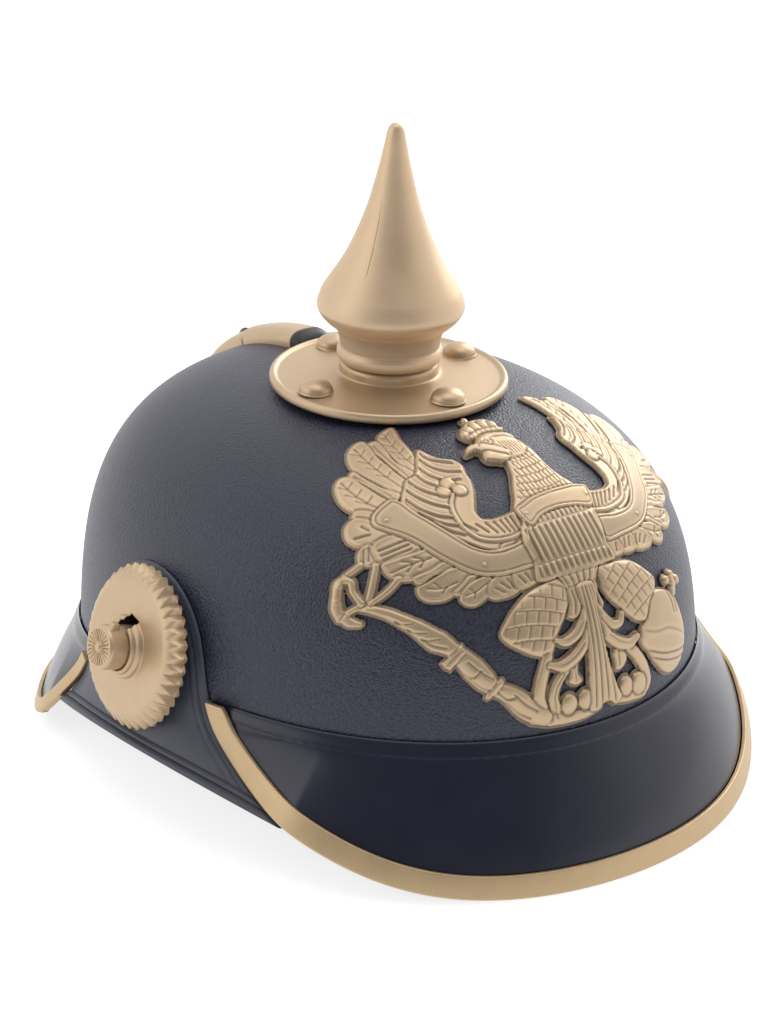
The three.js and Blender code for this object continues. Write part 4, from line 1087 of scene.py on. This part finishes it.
def drawBody(relief):
    chest = [(-15, 53), (-14.8, 46.5), (-15.8, 40.4), (-8, 39.8), (0, 39.7), (8, 39.8), (12.4, 40.4),
             (11.6, 45), (12.8, 51), (13, 57), (12, 59.5), (0, 61.5), (-11.5, 58.6), (-13, 57)]
    part, depth = relief.shape(chest, base=2.7, dome=0.4, roll=1.0)
    u, h = np.moveaxis(relief.place[part], -1, 0)
    on = ease(0.5, 1.2, depth)
    relief.height[part] += on * 0.5 * np.maximum(1 - (u / 15) ** 2, 0)
    # upright ribs, closer and shorter in the row of teeth at the top
    ribs = ease(-0.35, 0.5, np.cos((u - 0.9) * 2 * math.pi / 2.08))
    rows = ease(40.7, 41, h) * (1 - ease(55.2, 55.5, h)) * (1 - bell(h - 44.7, 0.45))
    teeth = ease(56, 56.3, h) * (1 - ease(58.6, 59, h)) * ease(-0.2, 0.5, np.cos(u * 2 * math.pi / 1.75))
    relief.height[part] += on * (0.55 * ribs * rows + 0.5 * teeth * (np.abs(u) < 10.4) - 0.35)
    relief.height[part] += on * 0.3 * bell(h - 55.7, 0.35)
    for x in (-14.0, -12.7, -11.4):
        relief.ridge([(x + 1.2, 61.4), (x + 0.7, 57.4), (x - 0.4, 52.4), (x - 0.5, 46.6)], 0.36, 0.6)
    neck = [(-3, 78), (-4.7, 74), (-7.4, 70), (-10, 65.6), (-12.2, 62.4), (-6, 59), (0, 59), (8, 59),
            (13.5, 62.5), (12.4, 65.4), (10, 69.2), (8.8, 74), (8.7, 80), (7.4, 85), (0, 86)]
    part, depth = relief.shape(neck, base=2.5, dome=0.9, roll=3.5)
    u, h = np.moveaxis(relief.place[part], -1, 0)
    # rows of narrow scales, half a scale apart from row to row, along the neck's own lean
    lean = u + 0.11 * (h - 76) - 0.3
    level = (h - 66 - 0.02 * lean ** 2) / 2.7
    row = np.floor(level)
    s = (lean / (1.45 + 0.18 * (row % 3)) + 0.5 * (row % 2)) % 1 - 0.5
    edge = np.maximum(bell(np.abs(s) - 0.5, 0.13), bell(level - row, 0.12))
    relief.height[part] -= ease(0.6, 1.2, depth) * 0.5 * edge * (h > 64.5)
    band = [(-12, 62.2), (-9, 63.2), (-5.6, 64.3), (0, 65), (6, 65.2), (12, 64.9), (15.6, 63.6),
            (15.2, 60.6), (14, 57.6), (6.8, 58.4), (1.5, 59), (-5.6, 58.2), (-10.6, 56.2), (-11.8, 59)]
    part, depth = relief.shape(band, base=3.6, dome=0.3, roll=0.7)
    relief.height[part] -= ease(0, 0.5, depth) * 0.4 * bell(depth - 1.0, 0.22)
    relief.dot(-9.9, 60, 0.5, 0.4)
    relief.dot(13.4, 60.9, 0.5, 0.4)
    head = [(-8, 88.2), (-6.8, 90.2), (-3, 91.2), (1, 91.3), (5, 90.4), (7.6, 88.8), (8.4, 86.6),
            (7.7, 84.2), (8.6, 81.4), (5, 79), (0, 78.6), (-4, 79.6), (-6, 84)]
    relief.shape(headPlace(head), base=3.0, dome=1.1, roll=3.0)
    for k in range(7):
        x = -0.6 + 1.25 * k
        relief.ridge(headPlace([(x, 85.2 - 0.25 * k), (x + 0.5, 82), (x + 0.6, 79.6)]), 0.25, -0.35)
    relief.ridge(headPlace([(-2, 88.6), (2, 88.4), (5.4, 87), (7.4, 85.2)]), 0.34, -0.5)
    beak = [(-15.4, 84.2), (-14.2, 86.4), (-12, 87.7), (-9.4, 87.8), (-7, 87), (-4.4, 85.4), (-1.6, 83.2),
            (0.4, 81), (-1.8, 78.8), (-5, 78.2), (-7.6, 79.2), (-10.2, 80.3), (-10.4, 82), (-9.6, 83.4),
            (-11, 84.6), (-13, 84.4)]
    relief.shape(headPlace(beak), base=3.0, dome=1.2, roll=2.0)
    relief.ridge(headPlace([(-10, 83.4), (-7.4, 83), (-4.4, 81.4), (-1.4, 79.8)]), 0.32, -0.9)
    relief.ridge(headPlace([(-9, 86.6), (-6, 85.6), (-3, 83.6), (0.2, 80.8)]), 0.4, 0.3)
    relief.dot(*headPlace((-8.8, 86)), 0.45, -0.5)
    relief.ball(*headPlace((-3.6, 86.9)), 1.1, base=3.4, dome=0.7)
    relief.dot(*headPlace((-3.7, 86.9)), 0.45, -0.6)
    relief.ridge(headPlace([(-6.8, 88), (-4, 88.7), (-1.2, 88.3)]), 0.45, 0.5)
    crownTop = [(-6.6, 90.4), (-9.2, 91.6), (-9.6, 93.6), (-7.6, 95.2), (-5, 96.2), (-2.6, 97.2),
                (0.4, 97.4), (3.4, 97.4), (6.2, 96.6), (7.4, 94.2), (7, 91), (4, 90.8), (0, 91.4), (-4, 91)]
    relief.shape(headPlace(crownTop), base=2.6, dome=0.9, roll=2.0)
    for x, y, size in ((-8, 93, 1.4), (-5, 94.2, 1.7), (-1.2, 95, 1.8), (2.8, 95.2, 1.8), (5.8, 94.2, 1.5)):
        relief.ball(*headPlace((x, y)), size, base=2.9, dome=0.9)
    relief.stroke(headPlace([(-7.4, 91.1), (-3, 92), (2, 92.1), (6.8, 91.4)]), [0.8, 0.8],
                  base=3.3, dome=0.4)
    for k in range(6):
        relief.dot(*headPlace((-5.8 + 2.2 * k, 91.6 + 0.4 * math.sin(k * 0.63))), 0.45, 0.3)
    relief.ball(*headPlace((-1.8, 98.2)), 1.1, base=2.6, dome=0.8)


def drawLegs(relief):
    leftThigh = [(-11, 40), (-14.6, 39.4), (-19.7, 38.4), (-24.6, 35.9), (-28.8, 32.2), (-30.6, 29.5),
                 (-29.3, 26.7), (-26.5, 24), (-23.8, 21.8), (-20.2, 20), (-17.5, 19.6), (-16, 21.8),
                 (-14.2, 25), (-11.4, 28.2), (-8.6, 32.4), (-7.6, 37)]
    rightThigh = [(4.8, 39.2), (10.7, 39.6), (18.2, 38.6), (23.2, 35.4), (26.6, 31.8), (25, 28.4),
                  (22, 26), (18, 21), (14.4, 21.6), (10.9, 24.3), (8.6, 26.6), (5.8, 29.6), (3.8, 34.3)]
    for rows, tilt in ((leftThigh, -0.45), (rightThigh, 0.55)):
        part, depth = relief.shape(rows, base=1.9, dome=1.3, roll=5.0)
        u, h = np.moveaxis(relief.place[part], -1, 0)
        # tiles in slanting rows, half a tile apart from row to row, parted by fine cuts
        level = (h - tilt * u + 0.012 * (np.abs(u) - 14) ** 2) / 4.1
        row = np.floor(level)
        along = (u + tilt * h) / 3.7 + 0.5 * (row % 2)
        cuts = bell(level - row, 0.09) + bell(level - row - 1, 0.09)
        cuts = np.maximum(cuts, bell(along % 1 - 0.5, 0.085))
        slope = 0.4 * (1 - (level - row))
        relief.height[part] += ease(0.6, 1.2, depth) * (slope - 0.34 * cuts)
    # legs run down behind the curls to the feet
    relief.stroke([(-18.7, 19.4), (-21.4, 13.4), (-22.4, 9.6), (-21.6, 5.4)],
                  [1.6, 1.7, 1.8, 2.0], base=1.7, dome=1.0)
    relief.stroke([(-13.4, 14.8), (-16.6, 12), (-18.2, 8.4), (-17.4, 5)],
                  [1.3, 1.5, 1.6, 1.7], base=1.7, dome=1.0)
    relief.ridge([(-14.4, 13.8), (-16.9, 11.2), (-18, 8.2), (-17.6, 5.4)], 0.26, -0.45)
    relief.stroke([(9.6, 15.4), (13.2, 12), (15.8, 8), (16.4, 4.6), (14.4, 2.2)],
                  [1.6, 1.8, 1.9, 1.9, 1.5], base=1.7, dome=1.0)
    relief.stroke([(-24.4, 4.6), (-20, 3.2), (-14, 1.9), (-8, 1.5), (-3, 2.2)],
                  [1.4, 1.8, 1.6, 1.4, 1.1], base=1.6, dome=0.8)
    relief.stroke([(2, 2.8), (7, 2), (13, 1.8)], [1.2, 1.4, 1.3], base=1.6, dome=0.8)
    for x, y, size in ((-13.4, 5.4, 2.7), (-7.9, 5.2, 2.7), (7.3, 5.2, 2.7), (12.6, 4.9, 3.1)):
        relief.ball(x, y, size, base=1.9, dome=1.5)
    for x in (-20.4, -18.6, -23.2):
        relief.ridge([(x, 6.4), (x + 1.4, 3)], 0.25, -0.4)


def drawTail(relief):
    fan = [(-10, 41), (-8, 35), (-6, 33.6), (-3, 33), (0, 33.6), (1.8, 35), (6, 41)]
    relief.shape(fan, base=2.6, dome=0.5, roll=1.2, soft=False)
    for k in range(6):
        share = k / 5
        relief.ridge([(-8.8 + 13.4 * share, 40.4), (-6.6 + 7 * share, 34.2)], 0.36, -0.5)
    leftLeaf = [(-8, 36), (-4.6, 36), (-4.6, 31), (-5.6, 28.6), (-8.6, 27.2), (-10, 28), (-9, 31.6)]
    rightLeaf = [(-0.6, 36), (2, 36), (2.2, 31.8), (3, 28.8), (1.6, 27.4), (-0.6, 28.8)]
    for rows in (leftLeaf, rightLeaf):
        relief.shape(rows, base=2.0, dome=0.7, roll=1.4)
    for rows in ([(-7, 35), (-6.8, 32), (-7.8, 28.4)], [(0.8, 35), (0.8, 32), (1.4, 28.6)]):
        relief.ridge(rows, 0.35, -0.4)
    tassels = [[(-12, 16), (-9.6, 16), (-9.8, 13), (-8.5, 10.3), (-10.2, 9.6), (-13.2, 11.2),
                (-12.4, 13.4)],
               [(3.4, 15.6), (6.4, 15.8), (8.4, 12.6), (5.8, 10), (3.7, 10.1), (3.6, 12.6)]]
    for rows in tassels:
        relief.shape(rows, base=1.7, dome=0.8, roll=1.5)
    relief.ridge([(-10.9, 15), (-10.8, 10.6)], 0.35, -0.35)
    relief.ridge([(5, 15), (5, 11)], 0.35, -0.35)
    curls = [([(-4, 29), (-6, 25.4), (-9.4, 22.7), (-13, 22), (-15.6, 23.4)], [1.2, 1.7, 1.7, 1.5, 0.7]),
             ([(-4, 24.4), (-6.8, 19.8), (-10.8, 17), (-15, 16), (-18.6, 17.4)], [1.2, 1.8, 1.9, 1.7, 0.9]),
             ([(-0.2, 29), (1.8, 25), (4.8, 22.4), (7.4, 22.6), (8.8, 25)], [1.2, 1.6, 1.6, 1.3, 0.7]),
             ([(-0.2, 24.4), (2.4, 19.8), (6, 17.2), (10, 16.2), (13.6, 17.6)], [1.2, 1.8, 1.9, 1.6, 0.9])]
    for rows, widths in curls:
        relief.stroke(rows, widths, base=1.9, dome=1.4)
        relief.ridge(np.array(rows)[1:] + (0, 0.45), 0.32, -0.4)
    stem = [(-4.8, 36), (0.4, 36), (0.5, 28), (0.4, 20), (1.6, 12), (3.4, 6.6), (5, 2.8), (2.4, 1.2),
            (0.4, 2.6), (-2, 2.6), (-3.4, 1.4), (-6.4, 1.6), (-6.6, 5), (-6.2, 12), (-5.5, 20), (-4.6, 28)]
    relief.shape(stem, base=2.5, dome=1.0, roll=2.2)
    for start, middle, foot in ((-3.6, -4.1, -4.8), (-2.4, -2.5, -2.6), (-1.1, -0.9, -0.2),
                                (-0.2, 0.1, 2.4)):
        relief.ridge([(start, 35), (middle, 20), (foot, 2.6)], 0.34, -0.5)


def drawSceptre(relief):
    # a turned rod: half-widths follow its swellings, with a wedge collar and twisted grooves
    rod = np.array([(-60.4, 51), (-57.8, 48.8), (-55.2, 46.2), (-52.8, 43.2), (-50.3, 40), (-46.8, 34.8),
                    (-43.8, 31.2), (-41.6, 27.8), (-38.4, 22.4), (-36.2, 18.8), (-34.3, 16.2),
                    (-31.4, 13.9), (-28.4, 10.8), (-24.8, 6.6), (-21, 4)])
    swellings = [1.1, 1.3, 1.5, 1.8, 2.2, 2.7, 1.9, 2.3, 2.8, 2.6, 1.7, 2.3, 2.9, 2.6, 2.2]
    relief.stroke(rod, swellings, base=1.5, dome=1.3)
    twists = [[(-55.8, 45.4), (-53.2, 42.4), (-50.6, 41.2)], [(-54.4, 43.6), (-51.2, 39), (-48.2, 37.4)],
              [(-52.4, 40.2), (-49.6, 36), (-45.8, 34.6)], [(-49.8, 36.6), (-47.2, 33.4), (-44.6, 31.6)],
              [(-42.8, 24.6), (-39.4, 21.4), (-37.2, 22.4)], [(-40.2, 26), (-37, 21.6), (-34.6, 19.2)],
              [(-40.4, 21.4), (-37.4, 17.6), (-35, 16)], [(-31.8, 11.6), (-28.6, 7.8), (-25.4, 5.4)],
              [(-29.4, 13.2), (-26.4, 9.4), (-23.4, 6.8)], [(-33.6, 15.2), (-31.4, 12.6), (-28.8, 12.2)]]
    for rows in twists:
        relief.ridge(rows, 0.27, -0.55)
    wedge = [(-46.6, 28.2), (-44.6, 29), (-40.8, 31), (-40.1, 28.8), (-42, 27.4), (-44.8, 25.2),
             (-46, 26.6)]
    relief.shape(wedge, base=2.2, dome=0.7, roll=1.2, soft=False)
    relief.ridge([(-45.6, 27.2), (-40.8, 29.8)], 0.26, -0.4)
    relief.stroke([(-36.2, 15), (-32.6, 17.4)], [0.9, 0.9], base=2.1, dome=0.7)
    # the open head: a bent loop over a bar, and the struts that tie it to the wing
    struts = [[(-61, 61), (-57, 62.4)], [(-58.4, 52), (-56, 56.4), (-53.6, 60.6)],
              [(-58, 51), (-54, 52.4), (-50.2, 54.6)]]
    for rows in struts:
        relief.stroke(rows, [0.9, 0.9], base=1.5, dome=0.8)
    relief.stroke([(-60.4, 51.4), (-62.6, 51.2), (-65, 50.6)], [1.0, 0.9, 1.1], base=1.6, dome=0.9)
    relief.stroke([(-65, 50.4), (-65.2, 53.6), (-64.2, 57), (-62, 60.2), (-60.6, 59.4), (-60.8, 56),
                   (-60, 52)],
                  [1.2, 1.3, 1.1, 1.3, 0.9, 0.8, 0.9], base=1.6, dome=1.1)
    relief.stroke([(-64.4, 49.8), (-63.4, 48), (-62, 46.8)], [1.1, 1.2, 0.8], base=1.5, dome=0.8)
    for x, y in ((-64.8, 55), (-62.6, 59), (-63.6, 50.4)):
        relief.dot(x, y, 0.8, 0.4)


def drawOrb(relief):
    orb = [(18.6, 21), (22, 26), (25.2, 28.4), (30.7, 28.3), (34.6, 26.6), (37.2, 22.6), (39.2, 16.8),
           (39, 13.4), (37, 9.4), (33, 6.2), (28.2, 5), (24.8, 5.8), (21.5, 8.3), (18.2, 12), (15.2, 15.4),
           (15.6, 18.4)]
    relief.shape(orb, base=1.8, dome=1.4, roll=6.0)
    for rows in ([(18.4, 12.6), (23, 11.4), (29, 10.8), (34, 11), (38.6, 11.6)],
                 [(20, 10.4), (24, 9.4), (29, 8.8), (33.6, 9), (37.2, 9.4)]):
        relief.ridge(rows, 0.3, -0.6)
    for x in (0, 2.0):
        relief.ridge([(31 + x, 28), (32.2 + x, 25), (32.6 + x, 21.6)], 0.28, -0.5)
    relief.ridge([(17, 18.4), (22, 17.4), (28, 17.6), (34, 16.4), (38.6, 15)], 0.5, -0.25)
    relief.stroke([(35, 27), (36.2, 29.6)], [1.2, 1.0], base=2.0, dome=0.8)
    for x, y, size in ((35.8, 32.2, 1.4), (38.6, 30.6, 1.5), (32.6, 30.8, 1.4), (35.9, 30, 1.4)):
        relief.ball(x, y, size, base=2.1, dome=0.9)


def layOnCrown(across, up, out):
    # a point of the badge's plane, pushed back along the plane's normal until it meets the crown
    tilt = math.radians(badge["tilt"])
    facing = np.array([0, -math.cos(tilt), math.sin(tilt)])
    rise = np.array([0, math.sin(tilt), math.cos(tilt)])
    base = across[..., None] * np.array([1.0, 0, 0]) + (up + badge["foot"])[..., None] * rise
    near, far = np.full(across.shape, 0.0), np.full(across.shape, 220.0)
    for _ in range(34):
        half = (near + far) / 2
        p = base + half[..., None] * facing
        x, y, z = np.moveaxis(p, -1, 0)
        radius = np.hypot(x * crown["stretch"], y / crown["stretch"])
        within = (radius < crownRadius(z)) & (z < crown["apex"])
        near, far = np.where(within, half, near), np.where(within, far, half)
    p = base + far[..., None] * facing
    return p + crownNormal(p) * out[..., None]


def makeEagle():
    relief = Relief()
    for side in (-1, 1):
        drawWing(relief, side)
    drawLegs(relief)
    drawTail(relief)
    drawSceptre(relief)
    drawOrb(relief)
    drawBody(relief)
    height = badge["ledge"] + badge["relief"] * (relief.height - badge["ledge"])
    # painted shade: darker where a point lies below the mean height round it, for the shade in the relief's
    # hollows; the whole badge is also a little darker, and the ribbons add their painted shade
    mean = height
    for _ in range(badge["blurs"]):
        wide = np.pad(mean, 1, mode="edge")
        mean = (wide[:-2, 1:-1] + wide[2:, 1:-1] + wide[1:-1, :-2] + wide[1:-1, 2:] + 2 * mean) / 6
    shade = badge["shade"] + relief.tone + badge["hollowShade"] * (mean - height)
    shade = np.clip(shade, *badge["shadeRange"])
    # points within half a cell of the outline are drawn onto it, so that the edge runs smooth
    depth = relief.cover + badge["flange"]
    slope = np.stack(np.gradient(depth, badge["cell"]), -1)
    steep = np.maximum((slope ** 2).sum(-1), 0.2)
    move = np.where(np.abs(depth) < 0.75 * badge["cell"], -depth / steep, 0)[..., None] * slope
    move = np.clip(move, -0.48 * badge["cell"], 0.48 * badge["cell"])
    place = relief.place + move
    keep = (depth > 0) | (np.abs(depth) < 0.45 * badge["cell"])
    full = keep[:-1, :-1] & keep[1:, :-1] & keep[1:, 1:] & keep[:-1, 1:]
    columns = keep.shape[1]
    for name, (left, right) in badge["parts"].items():
        i, j = np.nonzero(full)
        middle = badge["low"][0] + (i + 0.5) * badge["cell"]
        mine = (middle > left) & (middle < right)
        start = (i * columns + j)[mine]
        corners = np.stack([start, start + columns, start + columns + 1, start + 1], -1)
        used, index = np.unique(corners, return_inverse=True)
        faces = index.reshape(corners.shape)
        total = len(used)
        across, up = place.reshape(-1, 2)[used].T
        top, dark = height.reshape(-1)[used], shade.reshape(-1)[used]
        front = layOnCrown(across, up, top)
        back = layOnCrown(across, up, np.full(total, badge["under"]))
        # a wall joins front and back along every side that belongs to one quad only
        sides = np.concatenate([faces[:, [k, (k + 1) % 4]] for k in range(4)])
        low, high = np.sort(sides, 1).T
        _, first, count = np.unique(low * total + high, return_index=True, return_counts=True)
        rim = sides[first[count == 1]]
        wall = np.stack([rim[:, 1], rim[:, 0], rim[:, 0] + total, rim[:, 1] + total], -1)
        every = np.concatenate([faces, faces[:, ::-1] + total, wall])
        makePiece("eagle_" + name, np.concatenate([front, back]), every.tolist(), goldFinish,
                  ["eagle_plate"], shade=np.concatenate([dark, dark]), sharp=60)


makeEagle()

# floor, light and camera
studio = {"floor": 14.0, "paper": (0.4, 0.4, 0.4, 1), "glow": 0.8, "sides": 1.12, "front": 0.22,
          "cloth": 1.2, "viewer": (-0.57, -0.8, 0.2), "key": 4.0, "side": 13.0, "top": 5.0}


def makeFloor():
    mesh = bpy.data.meshes.new("floor")
    half = studio["floor"] / 2
    corners = [(-half, -half, 0), (half, -half, 0), (half, half, 0), (-half, half, 0)]
    mesh.from_pydata(corners, [], [(0, 1, 2, 3)])
    paper = Finish("white paper")
    mesh.materials.append(paper.give(Base_Color=studio["paper"], Roughness=0.75,
                                     Emission_Color=(1, 1, 1, 1), Emission_Strength=studio["glow"]))
    floor = bpy.data.objects.new("floor", mesh)
    bpy.context.scene.collection.objects.link(floor)


def makeWorld():
    # white all round, dimmer on the viewer's side, as in a room with a tent of cloth behind the part
    world = bpy.data.worlds.new("studio")
    world.use_nodes = True
    sky = Nodes(world.node_tree)
    way = sky.node("ShaderNodeTexCoord", {}, {}, "Generated")
    facing = sky.node("ShaderNodeVectorMath", {"operation": "DOT_PRODUCT"},
                      {0: way, 1: studio["viewer"]}, "Value")
    level = sky.node("ShaderNodeMapRange", {"interpolation_type": "SMOOTHSTEP"},
                     {"Value": facing, "From Min": 0.1, "From Max": 0.95,
                      "To Min": studio["sides"], "To Max": studio["front"]}, "Result")
    # seen directly, the cloth is as white as the floor
    ray = sky.node("ShaderNodeLightPath", {}, {}, "Is Camera Ray")
    strength = sky.node("ShaderNodeMix", {}, {"Factor": ray, "A": level, "B": studio["cloth"]}, "Result")
    background = sky.tree.nodes["Background"].inputs
    plug(sky.tree, background["Color"], (1, 1, 1, 1))
    plug(sky.tree, background["Strength"], strength)
    bpy.context.scene.world = world


def poseMatrix(across, up, back, place):
    return Matrix(np.vstack([np.stack([across, up, back, place], -1), [0, 0, 0, 1]]).tolist())


def makeLight(name, place, target, size, power):
    lamp = bpy.data.lights.new(name, "AREA")
    lamp.shape = "RECTANGLE"
    lamp.size, lamp.size_y = size
    lamp.energy = power
    light = bpy.data.objects.new(name, lamp)
    place, target = np.asarray(place, float), np.asarray(target, float)
    back = unit(place - target)
    across = unit(np.cross([0, 0, 1], back))
    up = np.cross(back, across)
    light.matrix_world = poseMatrix(across, up, back, place)
    bpy.context.scene.collection.objects.link(light)


camera = {"azimuth": -36.5, "elevation": 24.2, "roll": 1.75, "distance": 777.3, "lens": 85.99,
          "right": -0.52, "up": 43.35}


def makeCamera():
    # the photograph's view, found in the spike's frame and leaned with it
    a, e, roll = (math.radians(camera[key]) for key in ("azimuth", "elevation", "roll"))
    back = np.array([math.sin(a) * math.cos(e), -math.cos(a) * math.cos(e), math.sin(e)])
    right = np.array([math.cos(a), math.sin(a), 0])
    up = np.cross(back, right)
    turned = right * math.cos(roll) + up * math.sin(roll), up * math.cos(roll) - right * math.sin(roll)
    place = back * camera["distance"] - turned[0] * camera["right"] - turned[1] * camera["up"]
    origin = toRow(np.zeros(3))
    axes = [(toRow(v) - origin) * 1000 for v in (turned[0], turned[1], back)]
    lens = bpy.data.cameras.new("camera")
    lens.sensor_width = 36
    lens.lens = camera["lens"]
    lens.clip_start, lens.clip_end = 0.01, 50
    view = bpy.data.objects.new("camera", lens)
    view.matrix_world = poseMatrix(*axes, toRow(place))
    bpy.context.scene.collection.objects.link(view)
    bpy.context.scene.camera = view


makeFloor()
makeLight("left softbox", (-1.5, 0.3, 0.9), (0, 0, 0.1), (1.2, 1.2), studio["key"])
makeLight("right softbox", (1.3, 0.5, 0.8), (0, 0, 0.1), (0.9, 1.2), studio["side"])
makeLight("top softbox", (0, -0.2, 1.7), (0, 0, 0), (1.2, 1.2), studio["top"])
makeCamera()
makeWorld()
bpy.context.scene.view_settings.view_transform = "Standard"
print("stage set")
